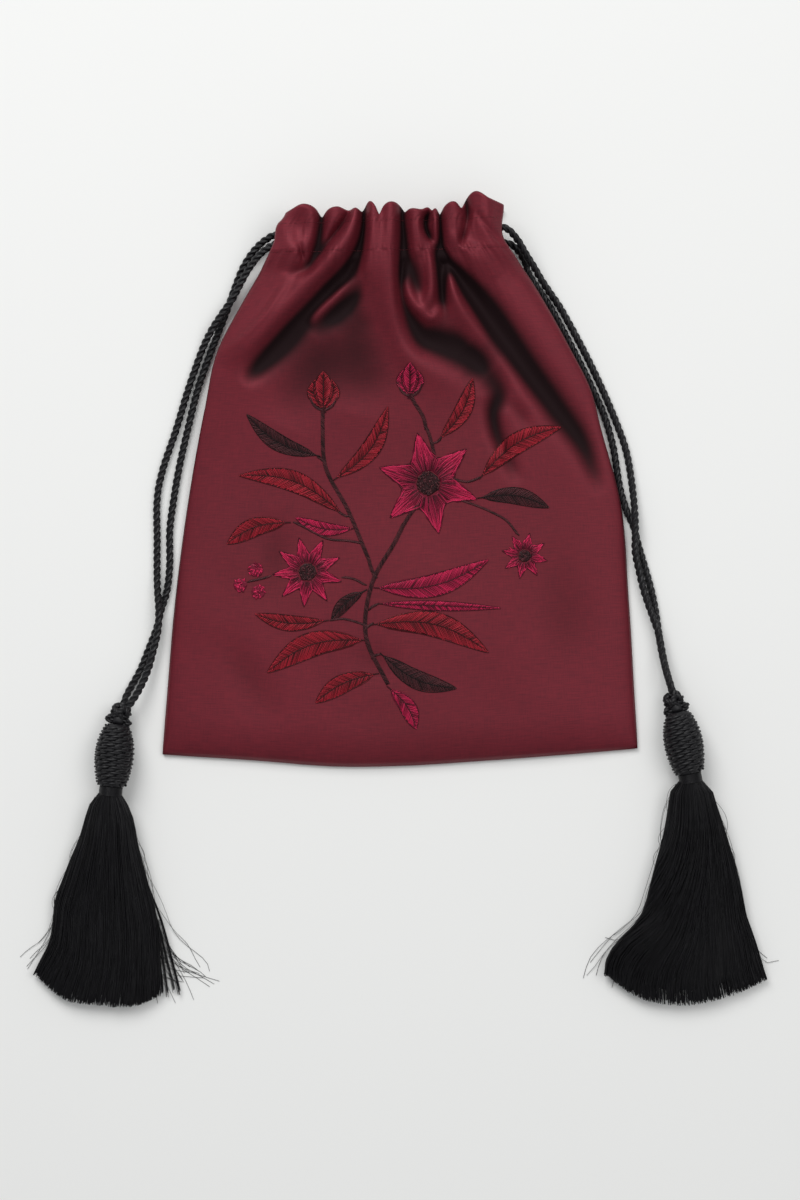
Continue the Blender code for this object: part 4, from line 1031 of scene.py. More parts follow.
class TAPESTRY_OT_panels(bpy.types.Operator):
    """Sew the front and back panels, each folded over at the mouth"""
    bl_idname = "tapestry_bag.panels"
    bl_label = "Panels"

    def execute(self, context):
        cloth = settings().cloth
        front = cloth_piece("front_cloth", front_surface, front_painted_shade, 1, False, cloth)
        back = cloth_piece("back_cloth", back_point, back_painted_shade, 2, True, cloth)
        keep_surface(front)
        belongs(front, "cloth", "front_panel")
        belongs(back, "cloth", "back_panel")
        lines = seam_lines(np.random.default_rng(21))
        source = lines_mesh("casing_seams", lines, [1.0] * len(lines), [0.46] * len(lines))
        thread = finish_of("seam", embroidery_thread, "matching_sewing_thread", tuple(cloth.colour))
        seams = sweep("casing_seams", source, threads_tree, Width=SEAM_THREAD, Sides=4,
                      Material=thread)
        belongs(seams, "cloth")
        return {"FINISHED"}


# Embroidery

BLOSSOM = (14, 58)
DAISY = (-46, 14)
BUD = (-38, 101)
SMALL_BUD = (5, 107)
SMALL_DAISY = (62, 22)
BERRIES = [(-72, 15), (-79.5, 7.5), (-70.5, 4)]
BERRY_RADIUS = 3.4
STITCH_LIFT = 0.36 * MM
STALK = 2.5
LEAF_DARK, LEAF_LIGHT = 0.45, 0.85
LEAF_BLUNT = 0.8
PETAL_DARK, PETAL_MIDDLE, PETAL_LIGHT = 0.15, 0.6, 0.95
OUTLINE_WIDTH, OUTLINE_SHADE = 0.6, 0.02
BUD_FOOT = 0.46
STEM_STITCH, STEM_STEP = 2.2, 0.85
PADDING = 0.12 * MM

# A set of stitches is a list of rows: points of the thread in metres, width and shade


def leaf_frame(base, tip, bend):
    """A leaf's midrib by share of its length, its sideways direction and its length."""
    base = np.array(base, float)
    run = np.array(tip, float) - base
    side = np.array([-run[1], run[0]])

    def middle(t):
        return base + run * t + side * bend * sin(pi * t)
    return middle, side / np.linalg.norm(side), float(np.linalg.norm(run))


def thread_shades(dark, light, count, rng):
    """Shades along one stitch; now and then a stitch lies in its neighbours' shadow."""
    change = rng.uniform(-0.28, 0.2) - (0.3 if rng.uniform() < 0.16 else 0.0)
    return np.clip(np.linspace(dark, light, count) + change, 0.02, 1)


def leaf_stitches(base, tip, width, bend, rng, height=1.0):
    """Satin stitches that slant from the midrib to each edge, then the vein and the outline."""
    middle, unit, length = leaf_frame(base, tip, bend)
    count = int(length / (settings().stitching.spacing / MM))
    rows = []

    def half_at(t):
        return width / 2 * sin(pi * t ** LEAF_BLUNT) ** 0.9

    def edge_at(t, sign, half, out=0.0):
        return middle(min(1.0, t + half / length * 0.9)) + sign * unit * (half + out)

    for sign in (1, -1):
        for k in range(count):
            t = (k + 0.5) / count
            half = half_at(t) * rng.uniform(0.86, 1.06)
            root = middle(t + rng.normal(0, 0.2) / length) + sign * unit * rng.uniform(0, 0.3)
            line = stitch(root, edge_at(t, sign, half), height)
            rows.append((line, 1.0, thread_shades(LEAF_DARK, LEAF_LIGHT, len(line), rng)))
    vein = [middle(t) for t in np.linspace(-STALK / length, 0.93, max(6, int(length / 3)))]
    rows.append((laid(vein, 1.1 * height), 0.85, 0.0))
    for sign in (1, -1):
        edge = [edge_at(t, sign, half_at(t), 0.15)
                for t in np.linspace(0.0, 1.0, max(8, int(length / 2.2)))]
        rows.append((laid(edge, 0.85 * height), OUTLINE_WIDTH, OUTLINE_SHADE))
    return rows


def stitch(a, b, height=1.0):
    """One satin stitch between two places in plan: it leaves the cloth, arches and goes in."""
    a = np.array(a, float)
    b = np.array(b, float)
    count = 4 if np.linalg.norm(b - a) > 5 else 3
    points = []
    for k in range(count + 1):
        t = k / count
        p = a + (b - a) * t
        points.append(on_cloth(p[0], p[1], (0.45 + 0.55 * sin(pi * t)) * STITCH_LIFT * height))
    return np.array(points)


def laid(points, height):
    """A thread laid over the stitches along a line in plan."""
    return np.array([on_cloth(p[0], p[1], STITCH_LIFT * height) for p in points])


def petal_stitches(centre, angle, start, end, width, rng):
    """Stitches that fan out along one petal, longest in its middle."""
    ahead = np.array([cos(angle), sin(angle)])
    side = np.array([-ahead[1], ahead[0]])
    count = int(width / (settings().stitching.spacing / MM) * 1.25)
    rows = []

    def spot(along, across):
        return np.array(centre) + ahead * along + side * across

    def reach(s):
        return end - (end - start) * 0.55 * abs(s) ** 1.4

    def between(s, share):
        return start + (reach(s) - start) * share

    def add(a, b, low, high, wide=1.0, height=1.0):
        line = stitch(a, b, height)
        rows.append((line, wide, thread_shades(low, high, len(line), rng)))

    for k in range(count):
        s = 2 * (k + 0.5) / count - 1
        root = spot(start, s * width * 0.26 + rng.normal(0, 0.15))
        belly = spot(between(s, rng.uniform(0.42, 0.62)), s * width * 0.5 + rng.normal(0, 0.2))
        peak = spot(reach(s) * rng.uniform(0.97, 1.02), s * width * 0.3 + rng.normal(0, 0.15))
        add(root, belly, PETAL_DARK, PETAL_MIDDLE)
        add(belly, peak, PETAL_MIDDLE, PETAL_LIGHT)
    # long and short stitches worked over the first layer
    for _ in range(count // 2):
        s = rng.uniform(-0.6, 0.6)
        low, high = np.sort(rng.uniform(0.1, 0.95, 2))
        a = spot(between(s, low), s * width * 0.42)
        b = spot(between(s, high), s * width * (0.42 - 0.1 * high) + rng.normal(0, 0.5))
        if np.linalg.norm(b - a) > 1.5:
            add(a, b, PETAL_MIDDLE, PETAL_LIGHT, 0.8, 1.5)
    for sign in (1, -1):
        corner = [spot(start, sign * width * 0.28), spot(between(1, 0.52), sign * width * 0.53),
                  spot(reach(1), sign * width * 0.34), spot(reach(0.5), sign * width * 0.18),
                  spot(end + 0.5, 0)]
        rows.append((laid(smooth_path(corner, 5), 0.9), OUTLINE_WIDTH, OUTLINE_SHADE))
    return rows


def flower_stitches(centre, petals, start, end, width, turn, rng):
    """All petals of one flower."""
    rows = []
    for k in range(petals):
        angle = radians(turn) + 2 * pi * (k + 0.5) / petals
        rows += petal_stitches(centre, angle, start, end, width, rng)
    return rows


def bud_stitches(centre, reach, rng):
    """A closed bud: two side petals, and a longer one worked over them."""
    x, y = centre
    foot = y - BUD_FOOT * reach
    rows = []
    for sign in (-1, 1):
        rows += leaf_stitches((x + sign * 0.5, foot), (x + sign * 0.34 * reach, y + 0.66 * reach),
                              0.5 * reach, -sign * 0.16, rng)
    return rows + leaf_stitches((x, foot), (x, y + reach), 0.62 * reach, 0.0, rng, height=1.7)


def bud_half_width(reach, up):
    """Half width of a bud at a height above its centre, both in millimetres."""
    t = min(1.0, max(0.0, (up / reach + BUD_FOOT) / (1 + BUD_FOOT)))
    return 0.52 * reach * sin(pi * t ** 0.62) ** 0.8


def heart_stitches(centre, radius, rng):
    """Knotted stitches that fill a flower's centre."""
    lines = []
    for _ in range(int(radius * radius * 3.2)):
        angle = rng.uniform(0, 2 * pi)
        away = radius * sqrt(rng.uniform(0, 1))
        spot = np.array([centre[0] + away * cos(angle), centre[1] + away * sin(angle)])
        turn = rng.uniform(0, 2 * pi)
        step = np.array([cos(turn), sin(turn)]) * 0.55
        lines.append(stitch(spot - step, spot + step, 1.25))
    return [(line, 1.25, shade) for line, shade in zip(lines, rng.uniform(0.1, 1.0, len(lines)))]


def stem_stitches(points, width, rng):
    """Short slanting stitches that cover a stem."""
    spine = smooth_path(points, 12)
    away = distances(spine)
    lines = []
    at = 0.0
    while at < away[-1] - STEM_STITCH:
        a, b = (np.array([np.interp(place_at, away, spine[:, k]) for k in (0, 1)])
                for place_at in (at, at + STEM_STITCH))
        run = (b - a) / np.linalg.norm(b - a)
        side = np.array([-run[1], run[0]]) * width / 2
        lines.append(stitch(a - side, b + side))
        at += STEM_STEP
    return [(line, 1.0, shade) for line, shade in zip(lines, rng.uniform(0.15, 1.0, len(lines)))]


# Thin stalks and sepals that join the motifs: width, and points in millimetres
TENDRILS = [
    (0.7, [(59, 32), (53, 39.5), (45, 44), (38.5, 46.8), (30, 49.8)]),
    (0.8, [(40, 61), (33.5, 58.8), (25.5, 60.5)]),
    (0.7, [(-29, 11.5), (-23, 10.5), (-16.5, 7)]),
    (0.7, [(-64, 12), (-69.5, 10.5), (-76.5, 9)]),
    (0.7, [(-53, 39), (-47, 36), (-36, 30.5), (-26, 29.5), (-17.5, 28)]),
    (0.8, [(-30.5, 44), (-27.5, 42), (-24, 41.5)]),
    (0.8, [(-10.3, -1.9), (-13, -2.8), (-16.5, -5.5)]),
    (0.9, [(-13, -11.6), (-15.2, -12.6), (-18.5, -15.5)]),
    (0.9, [(-9.4, -27.3), (-11.6, -27.2), (-14.6, -29)]),
    (0.8, [(-41, 71.3), (-39, 70), (-36.8, 67.4)]),
    (0.7, [(-35, -10), (-27, -9.5), (-15.5, -13)]),
    (0.7, [(21, 81), (18.5, 78.5), (15, 77.5)]),
    (1.6, [(-38.5, 87.5), (-38.3, 91.5), (-38, 97.5)]),
    (1.0, [(-38, 94), (-42.5, 96.5), (-45.5, 103.5)]),
    (1.0, [(-38, 94), (-33.5, 96.5), (-30.5, 103.5)]),
    (1.5, [(7.6, 97), (6.2, 100), (5, 104.5)]),
    (1.0, [(5.4, 101), (1.2, 103.2), (-1.4, 109)]),
    (1.0, [(5.4, 101), (9, 103.2), (11.4, 109)]),
    (1.3, [(12.8, 86.5), (15.2, 80), (17.2, 71.5)]),
    (1.6, [(1.3, 36.5), (5, 42.5), (10.6, 49.5)]),
    (1.5, [(-15.8, 21.5), (-14.4, 16), (-11.8, 10.5)]),
]


# Leaves by number: thread, base and tip in millimetres, width, and bend of the midrib
LEAVES = {
    1: ("crimson", (-11.5, -12), (44, -26), 12, 0.12),
    2: ("plum", (-8, -28), (28, -44), 9, -0.1),
    3: ("crimson", (-19, -20), (-66, -36), 12, -0.12),
    4: ("magenta", (-10.5, 6), (44, 20), 11, -0.1),
    5: ("plum", (-18.6, 4), (-34, -10), 6, -0.08),
    6: ("crimson", (-30, 44), (-80, 62), 10, -0.12),
    7: ("crimson", (-31, 61), (-6, 96), 9, -0.12),
    8: ("plum", (-42, 72), (-76, 92), 8, 0.1),
    9: ("crimson", (20.5, 81), (36, 110), 8, -0.1),
    10: ("magenta", (-24, 35.5), (-52, 41), 6.5, 0.1),
    11: ("crimson", (41, 62), (80, 86), 10, 0.1),
    12: ("plum", (41, 51), (74, 46), 8, 0.1),
    13: ("magenta", (-8.5, -1.9), (50, -4), 4.4, 0.0),
    14: ("crimson", (-38, -10.5), (-72, -7), 7.5, 0.08),
    15: ("crimson", (-57, 38.5), (-86, 28), 9, -0.1),
    16: ("crimson", (-13, -37), (-42, -51), 9, -0.08),
    17: ("magenta", (-4.5, -44.5), (8, -64), 8, 0.1),
}


# Stems: width, and points in millimetres
STEMS = {
    "main_stem": (1.8, [(-6, -42), (-17, -18), (-14, 8), (-3, 28), (2, 38)]),
    "bud_stem": (1.6, [(-15.5, 20), (-26, 45), (-37, 66), (-38.5, 89)]),
    "small_bud_stem": (1.5, [(13, 84.5), (11.5, 91), (6.8, 98.5)]),
}


def patch_under(name, node, material, fit=None):
    """The padding that the stitches lie on: the motif's own outline, draped on the fine cloth, and
    drawn darker than the stitches as painted shade in the gaps between them.
    """
    bm = bmesh.new()
    bm.from_mesh(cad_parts[node].data)
    bmesh.ops.remove_doubles(bm, verts=bm.verts, dist=0.002 * MM)
    rest = [face for face in bm.faces if face.normal.z <= 0.5]
    bmesh.ops.delete(bm, geom=rest, context="FACES")
    bmesh.ops.triangulate(bm, faces=bm.faces[:])
    for _ in range(2):
        long = [e for e in bm.edges if e.calc_length() > 1.8 * MM]
        bmesh.ops.subdivide_edges(bm, edges=long, cuts=1)
        bmesh.ops.triangulate(bm, faces=bm.faces[:])
    for v in bm.verts:
        x, y = v.co.x / MM, v.co.y / MM
        if fit is not None:
            x, y = fit(x, y)
        v.co = on_cloth(x, y, PADDING) or v.co
    made = place_bmesh(name, bm, material)
    shell = made.modifiers.new("padding", "SOLIDIFY")
    shell.thickness = PADDING
    shell.offset = 1
    solid = frozen(made)
    # dark shade 0.2: painted shade that shows in the gaps between the stitches
    give_points(solid, "shade", np.full(len(solid.vertices), 0.2))
    return shade_smooth(place(name, solid))


def worked(name, thread, rows):
    """Stitches swept to thread."""
    source = lines_mesh(name, *zip(*rows))
    return sweep(name, source, threads_tree, Width=settings().stitching.thread, Sides=4,
                 Material=thread_finish(thread))


def embroidered(name, thread, rows, fit=None):
    """One motif: its padding and its stitches as one piece."""
    node = "embroidered_" + name
    stitches = worked(name + "_stitches", thread, rows)
    base = patch_under(name + "_base", node, thread_finish(thread), fit)
    return belongs(join_meshes(name, [stitches, base]), "thread_" + thread, node)


class TAPESTRY_OT_embroidery(bpy.types.Operator):
    """Work the spray of flowers and leaves in satin stitch on the front panel"""
    bl_idname = "tapestry_bag.embroidery"
    bl_label = "Embroidery"

    def execute(self, context):
        rng = np.random.default_rng(5)
        self.flower("blossom", BLOSSOM, (6, 6.4, 25, 13, 12), 5.6, rng)
        self.flower("daisy", DAISY, (9, 5, 17, 7, 4), 4.2, rng)
        self.bud("bud", "crimson", BUD, 12.5, rng)
        self.stem("main_stem", rng)
        self.stem("bud_stem", rng)
        self.bud("small_bud", "magenta", SMALL_BUD, 10.5, rng)
        self.stem("small_bud_stem", rng)
        self.flower("small_daisy", SMALL_DAISY, (8, 3.6, 11, 5, 10), 2.9, rng)
        for number, spot in enumerate(BERRIES, 1):
            embroidered(f"berry_{number}", "magenta", heart_stitches(spot, BERRY_RADIUS, rng))
        self.tendrils(rng)
        for number, (thread, base, tip, width, bend) in LEAVES.items():
            embroidered(f"leaf_{number}", thread, leaf_stitches(base, tip, width, bend, rng))
        return {"FINISHED"}

    def flower(self, name, centre, petals, heart, rng):
        """A flower: number, start, end, width and turn of its petals, and its heart's radius."""
        embroidered(name, "magenta", flower_stitches(centre, *petals, rng))
        embroidered(name + "_heart", "plum", heart_stitches(centre, heart, rng))

    def stem(self, name, rng):
        """A stem of the spray."""
        width, path = STEMS[name]
        embroidered(name, "plum", stem_stitches(path, width, rng))

    def bud(self, name, thread, centre, reach, rng):
        """A bud, with its padding drawn in to the closed petals."""
        def fit(x, y):
            half = bud_half_width(reach, y - centre[1])
            return centre[0] + min(half, max(-half, x - centre[0])), y
        embroidered(name, thread, bud_stitches(centre, reach, rng), fit)

    def tendrils(self, rng):
        """Thin worked stalks and sepals that join the motifs."""
        rows = []
        for width, path in TENDRILS:
            rows += stem_stitches(path, width, rng)
        belongs(worked("tendrils", "plum", rows), "thread_plum")


# Cords

def laid_piece(name, lines, diameter, lay, step=0.8 * MM, points=21):
    """Lines swept to three-strand laid cord."""
    return sweep(name, lines_mesh(name, lines), laid_cord_tree, Diameter=diameter, Lay=lay,
                 Step=step, Strands=3, Points=points, Material=cord_finish())


class TAPESTRY_OT_cords(bpy.types.Operator):
    """Thread the two drawstrings from their knots through both casings"""
    bl_idname = "tapestry_bag.cords"
    bl_label = "Drawstrings"

    def execute(self, context):
        cords = settings().cords
        for side, route in (("left", LEFT_ROUTE), ("right", RIGHT_ROUTE)):
            path = smooth_path(route, 8) * MM
            piece = laid_piece("drawstring_" + side, [path], cords.diameter, cords.lay)
            belongs(piece, "silk_black", "cord_" + side)
        return {"FINISHED"}


# Knots and tassels

KNOT_CORD, KNOT_LAY, KNOT_STEP = 3.1 * MM, 8 * MM, 0.6 * MM
HEAD_LAY, HEAD_STEP = 11.5 * MM, 0.55 * MM
WOUND_GAP = 0.1 * MM
BODY_SIDES = 28
NECK_THREAD = 0.5 * MM
FLOOR_REST = 0.3 * MM


def lying(place_at, tilt, dip=0.0):
    """Pose of a piece whose own +Z points up the tassel: turned, and dipped at its upper end."""
    laid_down = Matrix.Rotation(-pi / 2 - dip, 4, "X")
    return Matrix.Translation(place_at) @ Matrix.Rotation(tilt, 4, "Z") @ laid_down


def posed(points, pose):
    """Points of a tassel's own frame, in metres, put in the bag's frame."""
    return np.array([pose @ Vector(p) for p in points])


def head_radius(t):
    """Outer radius of a tassel head's core at a share of its length from the knot."""
    end = HEAD_TOP_RADIUS + (HEAD_FOOT_RADIUS - HEAD_TOP_RADIUS) * t - WRAP_CORD / 2
    belly = HEAD_RADIUS - WRAP_CORD - GAP
    return end + (belly - end) * max(0.0, sin(pi * t)) ** 0.8


def knot_lines(pose):
    """A round knot of two interlaced turns, and the two ears that stand out below it."""
    ball = []
    for t in np.linspace(0, 2 * pi, 120):
        up = sin(4 * t)
        radius = 3.5 * sqrt(max(0.0, 1 - (0.62 * up) ** 2)) + 0.5 * cos(8 * t)
        ball.append((radius * cos(3 * t) * MM, radius * sin(3 * t) * MM, (6.4 + 3.0 * up) * MM))
    ears = [[((side * 3.9 + 1.6 * cos(t)) * MM, 0.5 * sin(2 * t) * MM, (1.8 + 0.95 * sin(t)) * MM)
             for t in np.linspace(0, 2 * pi, 24)] for side in (1, -1)]
    return [posed(line, pose) for line in [ball] + ears]


def turned_body(name, pose, radius_of, start, end, sides, rows, material):
    """A closed turned body along a tassel's own axis, from start to end below its top."""
    rings = []
    for t in np.linspace(0, 1, rows):
        radius = radius_of(t)
        rings.append(posed([(radius * cos(2 * pi * i / sides), radius * sin(2 * pi * i / sides),
                             -(start + (end - start) * t)) for i in range(sides)], pose))
    return skin_rings(name, rings, material)


class TAPESTRY_OT_knots(bpy.types.Operator):
    """Tie the knots between the cords and the tassel heads"""
    bl_idname = "tapestry_bag.knots"
    bl_label = "Knots"

    def execute(self, context):
        for side, facts in TASSELS.items():
            pose = lying(facts["top"], facts["tilt"])
            knot_pose = lying(pose @ Vector((0, 0, GAP)), facts["knot_tilt"], KNOT_DIP)
            strands = laid_piece(f"knot_{side}_strands", knot_lines(knot_pose), KNOT_CORD, KNOT_LAY,
                                 KNOT_STEP, 15)
            core = turned_body("knot_core", knot_pose,
                               lambda t: 3.3 * MM * sin(pi * (0.3 + 0.62 * t)),
                               0.2 * MM, -10 * MM, 16, 9, cord_finish())
            belongs(join_meshes(f"knot_{side}_tied", [strands, core]), "silk_black", "knot_" + side)
        return {"FINISHED"}


def winding_lines(pose, lift):
    """Slanting turns of cord over a head, from the knot end to the neck."""
    lines = []
    for n in range(WRAP_STARTS):
        line = []
        for t in np.linspace(0, 1, 61):
            angle = 2 * pi * (n / WRAP_STARTS + WRAP_TURNS * t)
            radius = head_radius(t) + GAP + WOUND_GAP + lift * max(0.0, sin(pi * t)) ** 0.7
            along = HEAD_LENGTH * (0.035 + 0.93 * t)
            line.append((radius * cos(angle), radius * sin(angle), -along))
        lines.append(posed(line, pose))
    return lines


def under_radius(t):
    """Radius of the smooth body under a head's wound cord."""
    return head_radius(t) + (0.1 + 0.7 * max(0.0, sin(pi * t)) ** 0.7) * MM


class TAPESTRY_OT_heads(bpy.types.Operator):
    """Wind the tassel heads with twisted cord and bind their necks"""
    bl_idname = "tapestry_bag.heads"
    bl_label = "Tassel heads"

    def execute(self, context):
        wound = settings().cords.wound
        for side, facts in TASSELS.items():
            pose = lying(facts["top"], facts["tilt"])
            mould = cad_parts["tassel_mould_" + side]
            mould.data.materials.clear()
            mould.data.materials.append(finish_of("wood", beech_wood, "beech"))
            lines = winding_lines(pose, WRAP_CORD - wound / 2 - WOUND_GAP)
            turns = laid_piece(f"head_{side}_turns", lines, wound, HEAD_LAY, HEAD_STEP, 18)
            under = turned_body("head_under", pose, under_radius, -0.25 * MM,
                                HEAD_LENGTH + 0.1 * MM, BODY_SIDES, 25, cord_finish())
            belongs(join_meshes(f"head_{side}_wound", [turns, under]), "silk_black",
                    "tassel_winding_" + side)
            self.bind(side, pose)
        return {"FINISHED"}

    def bind(self, side, pose):
        """Fine thread wound round the neck, over a smooth collar."""
        start = HEAD_LENGTH + 0.2 * MM
        steps = int(BINDING_LENGTH * 1.25 / NECK_THREAD) * 20
        coil = []
        for k in range(steps + 1):
            angle = 2 * pi * k / 20
            along = start + NECK_THREAD * 0.5 + BINDING_LENGTH * 1.2 * k / steps
            coil.append((BINDING_RADIUS * cos(angle), BINDING_RADIUS * sin(angle), -along))
        source = lines_mesh("neck", [posed(coil, pose)], [1.0], [0.5])
        turns = sweep("neck_turns", source, threads_tree, Width=NECK_THREAD * 1.05, Sides=6,
                      Material=floss_finish())
        collar = turned_body("neck_collar", pose,
                             lambda t: BINDING_RADIUS - 0.05 * MM * (1 + 20 * (t > 0.96)),
                             start, start + BINDING_LENGTH * 1.25, BODY_SIDES, 25, floss_finish())
        belongs(join_meshes(f"neck_{side}_bound", [turns, collar]), "silk_black",
                "neck_binding_" + side)


def skirt_point(facts, neck, share, across, up):
    """A place in a skirt: share of its length, -1 to 1 across, -1 to 1 from floor side to top."""
    (centre, half), (centre_z, half_z) = (
        [follow([(row[0], row[k]) for row in facts[table]], share) for k in (1, 2)]
        for table in ("rows", "heights"))
    length = follow(facts["ends"], across)
    x = neck.x + (centre + half * across) * MM
    y = neck.y - length * share * MM
    z = np.maximum(0.35, centre_z + half_z * up) * MM
    return np.stack([x, y, z], axis=-1)


def skirt_threads(facts, neck, count, rng):
    """Threads of one skirt, denser on its upper side, each a line with its own shade."""
    shares = np.linspace(0, 1, 17)
    locks = [(rng.uniform(-0.1 * pi, 1.1 * pi), rng.normal(0, 0.05), rng.uniform(0.97, 1.0),
              rng.uniform(2.5, 6), rng.uniform(0, 2 * pi)) for _ in range(SKIRT_LOCKS)]
    lines = []
    shades = []
    for number in range(count):
        angle, bend, full, waves, phase = locks[rng.integers(SKIRT_LOCKS)]
        if number % 2:
            angle, full = rng.uniform(-0.12 * pi, 1.12 * pi), 1.0
        angle = angle + rng.normal(0, 0.12)
        depth = sqrt(rng.uniform(0.55, 1.0))
        across0 = cos(angle) * depth
        swept = rng.uniform() < facts["swept_share"]
        up0 = sin(angle) * depth * (1.0 if swept else 1 - 0.18 * (facts["swept_share"] > 0))
        top = max(0.0, sin(angle)) * depth * swept
        drift = -facts["sweep"] * top * ease((shares - 0.12) / 0.75) * rng.uniform(0.5, 1.15)
        sway = bend * shares ** 1.5 + 0.025 * shares * np.sin(waves * shares + phase)
        sway = sway + rng.normal(0, 0.02) * shares
        across = np.clip(across0 + drift + sway, -1.03, 1.03)
        up = (up0 * (1 - 0.25 * shares * rng.uniform(0, 1))
              + 0.06 * np.sin(shares * rng.uniform(4, 12) + rng.uniform(0, 6)))
        reach = full * (rng.uniform(0.975, 1.0) if rng.uniform() < 0.92 else rng.uniform(0.9, 1.0))
        lines.append(skirt_point(facts, neck, shares * reach, across, np.clip(up, -1, 1)))
        shades.append(rng.uniform(0.1, 1.0))
    return lines, shades


def loose_loops(facts, neck, count, rng):
    """Single threads that bow out from the skirt's sides and come back to it."""
    lines = []
    bow = np.linspace(0, 1, 16)
    for number in range(count):
        side = 1 if number % 2 else -1
        start = rng.uniform(0.02, 0.5)
        shares = start + rng.uniform(0.1, 0.3) * bow
        path = skirt_point(facts, neck, shares, side * 0.95, -0.1)
        path[:, 0] += side * rng.uniform(1.0, 3.6) * MM * np.sin(pi * bow) ** 0.8
        lines.append(path)
    return lines


def stray_threads(facts, neck, count, lean, rng):
    """Loose threads that leave the skirt low down and curl on the floor."""
    lines = []
    for _ in range(count):
        side = lean if rng.uniform() < 0.8 else -lean
        across = side * rng.uniform(0.55, 1.0)
        leave = rng.uniform(0.25, 0.85)
        reach = rng.uniform(0.9, 1.02)
        wide = rng.uniform(0.05, 0.6) * (1.1 - 0.5 * leave)
        wide = wide * (1.0 if side == lean == 1 else 0.12)
        shares = np.linspace(0.02, 1, 22)
        out = np.clip((shares - leave) / (1 - leave), 0, 1)
        path = skirt_point(facts, neck, shares * reach, across + 0.25 * side * out, 0.4 - 0.9 * out)
        path[:, 0] += (side * wide * STRAY_REACH * out ** 1.6
                       * (1 + 0.25 * np.sin(out * rng.uniform(3, 9))))
        path[:, 1] += (STRAY_DRIFT * rng.uniform(-0.3, 1.4) * out ** 2
                       + STRAY_CURL * np.sin(out * rng.uniform(4, 14)))
        path[:, 2] = np.maximum(FLOOR_REST, path[:, 2] * (1 - 0.95 * out ** 0.5))
        lines.append(path)
    return lines


def split_locks(facts, neck, rng):
    """Small locks that part from the skirt's side.

    Each row of the split table says how far out a lock ends, and the shares of the skirt's length
    at which it leaves and ends.
    """
    lines = []
    shares = np.linspace(0.1, 1, 18)
    for out_mm, leave, reach in facts["split"]:
        for _ in range(LOCK_THREADS):
            out = np.clip((shares - leave) / (1 - leave), 0, 1)
            spread = rng.normal(0, 0.32) * MM
            path = skirt_point(facts, neck, shares * reach * rng.uniform(0.97, 1.0),
                               facts["lean"] * 0.97, 0.1 - 0.5 * out)
            path[:, 0] += facts["lean"] * (out_mm * MM * out ** 1.3) + spread * shares
            path[:, 2] = np.maximum(FLOOR_REST, path[:, 2] + rng.normal(0, 0.25) * MM)
            lines.append(path)
    return lines


class TAPESTRY_OT_skirts(bpy.types.Operator):
    """Lay out the skirts of loose silk threads"""
    bl_idname = "tapestry_bag.skirts"
    bl_label = "Skirts"

    def execute(self, context):
        skirts = settings().skirts
        for side, facts in TASSELS.items():
            rng = np.random.default_rng(facts["seed"])
            pose = lying(facts["top"], facts["tilt"])
            neck = pose @ Vector((0, 0, -HEAD_LENGTH - BINDING_LENGTH))
            lines, shades = skirt_threads(facts, neck, skirts.threads, rng)
            strays = stray_threads(facts, neck, int(skirts.strays * facts["stray_share"]),
                                   facts["lean"], rng)
            strays += loose_loops(facts, neck, skirts.loops, rng)
            parted = split_locks(facts, neck, rng)
            widths = [1.0] * len(lines) + [STRAY_WIDTH] * len(strays) + [LOCK_WIDTH] * len(parted)
            shades = shades + [LOOSE_SHADE] * (len(strays) + len(parted))
            source = lines_mesh("skirt_" + side, lines + strays + parted, widths, shades)
            loose = sweep("skirt_threads", source, threads_tree, Width=skirts.thread, Sides=3,
                          Material=floss_finish())
            angles = 2 * pi * np.arange(CORE_SIDES) / CORE_SIDES
            rings = [skirt_point(facts, neck, np.full(CORE_SIDES, share), 0.9 * np.cos(angles),
                                 0.7 * np.sin(angles)).tolist()
                     for share in np.linspace(0, 0.93, CORE_RINGS)]
            core = skin_rings("skirt_core", rings, floss_finish())
            # shade 0 makes the core the darkest part of the skirt: painted shade inside it
            give_points(core.data, "shade", np.zeros(len(core.data.vertices)))
            belongs(join_meshes(f"skirt_{side}_floss", [loose, core]), "silk_black",
                    "skirt_" + side)
        return {"FINISHED"}


# Stage

SENSOR = 36
FRAME_HEIGHT = 0.6
FLOOR_REACH = 6
# Lamps: name, place and diameter in metres, and share of the key light's power
LAMPS = [("key", (-0.7, 1.45, 1.7), 1.5, 1.0), ("fill", (0.95, 0.5, 2.0), 1.6, 0.45)]


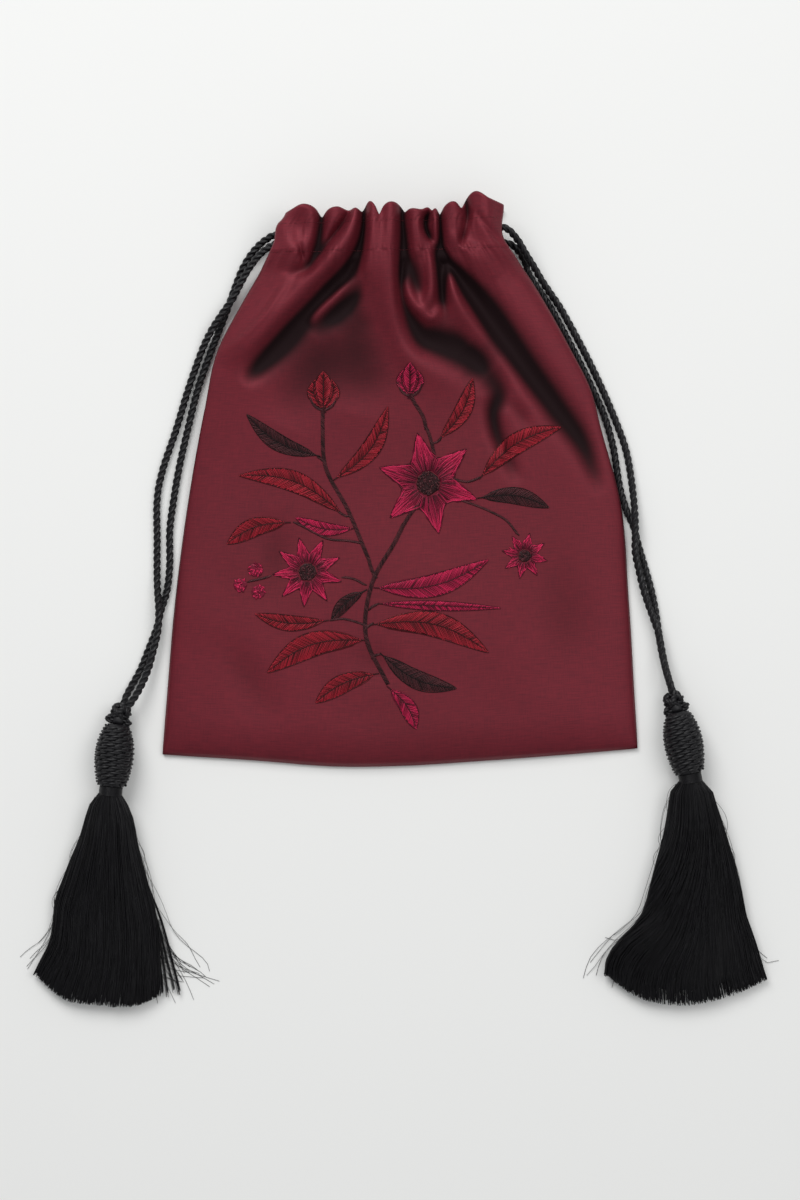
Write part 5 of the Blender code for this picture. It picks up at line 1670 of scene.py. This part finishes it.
class TAPESTRY_OT_stage(bpy.types.Operator):
    """Set the white surface, the soft lights and the camera"""
    bl_idname = "tapestry_bag.stage"
    bl_label = "Stage"

    def execute(self, context):
        stage = settings().stage
        scene = context.scene
        scene.view_settings.view_transform = "Standard"
        self.surface(stage)
        self.lights(scene, stage)
        view = bpy.data.cameras.new("camera")
        view.sensor_fit = "VERTICAL"
        view.sensor_height = SENSOR
        view.lens = SENSOR * stage.distance / FRAME_HEIGHT
        camera = bpy.data.objects.new("camera", view)
        camera.location = (0, 0, stage.distance)
        scene.collection.objects.link(camera)
        scene.camera = camera
        return {"FINISHED"}

    def surface(self, stage):
        """A wide plain floor of matt white card."""
        bm = bmesh.new()
        bmesh.ops.create_grid(bm, x_segments=2, y_segments=2, size=FLOOR_REACH)
        card, _, shader = base_material("matt_white_card", Roughness=0.85)
        shader.inputs["Base Color"].default_value = rgba(stage.floor)
        place_bmesh("surface", bm, card)

    def lights(self, scene, stage):
        """A large soft key light from the upper left, a weaker one opposite and an even room."""
        world = bpy.data.worlds.new("room")
        world.use_nodes = True
        back = world.node_tree.nodes["Background"]
        back.inputs["Color"].default_value = rgba(hex_colour("F4F6F8"))
        back.inputs["Strength"].default_value = stage.sky
        scene.world = world
        for name, spot, diameter, share in LAMPS:
            lamp = bpy.data.lights.new(name, "AREA")
            lamp.shape = "DISK"
            lamp.size = diameter
            lamp.energy = stage.key * share
            made = bpy.data.objects.new(name, lamp)
            made.location = spot
            made.rotation_euler = (-Vector(spot)).to_track_quat("-Z", "Y").to_euler()
            scene.collection.objects.link(made)


class TapestryBag(bpy.types.PropertyGroup):
    """Everything that a user can change."""
    cloth: PointerProperty(type=TapestryCloth)
    stitching: PointerProperty(type=TapestryStitching)
    cords: PointerProperty(type=TapestryCords)
    skirts: PointerProperty(type=TapestrySkirts)
    stage: PointerProperty(type=TapestryStage)


STEPS = (TAPESTRY_OT_stage, TAPESTRY_OT_cords, TAPESTRY_OT_panels, TAPESTRY_OT_embroidery,
         TAPESTRY_OT_knots, TAPESTRY_OT_heads, TAPESTRY_OT_skirts)
GROUPS = (TapestryCloth, TapestryStitching, TapestryCords, TapestrySkirts, TapestryStage,
          TapestryBag)


class TAPESTRY_PT_panel(bpy.types.Panel):
    """Lists the bag's pieces and their sizes."""
    bl_idname = "TAPESTRY_PT_panel"
    bl_label = "Tapestry Bag"
    bl_space_type = "VIEW_3D"
    bl_region_type = "UI"
    bl_category = "Tapestry Bag"

    def draw(self, context):
        """One button for each step, then every size and colour."""
        bag = context.scene.tapestry_bag
        for step in STEPS:
            self.layout.operator(step.bl_idname)
        for group in (bag.cloth, bag.stitching, bag.cords, bag.skirts, bag.stage):
            box = self.layout.box()
            for key in group.__annotations__:
                box.prop(group, key)


def register():
    """Make the add-on's classes and settings known to Blender."""
    for made in GROUPS + STEPS + (TAPESTRY_PT_panel,):
        bpy.utils.register_class(made)
    bpy.types.Scene.tapestry_bag = PointerProperty(type=TapestryBag)


def unregister():
    """Take the add-on's classes and settings away again."""
    del bpy.types.Scene.tapestry_bag
    for made in reversed(GROUPS + STEPS + (TAPESTRY_PT_panel,)):
        bpy.utils.unregister_class(made)


def main():
    """Build the bag in its order."""
    register()
    for step in STEPS:
        group, name = step.bl_idname.split(".")
        getattr(getattr(bpy.ops, group), name)()
    bpy.context.view_layer.update()


if __name__ == "__main__":
    main()
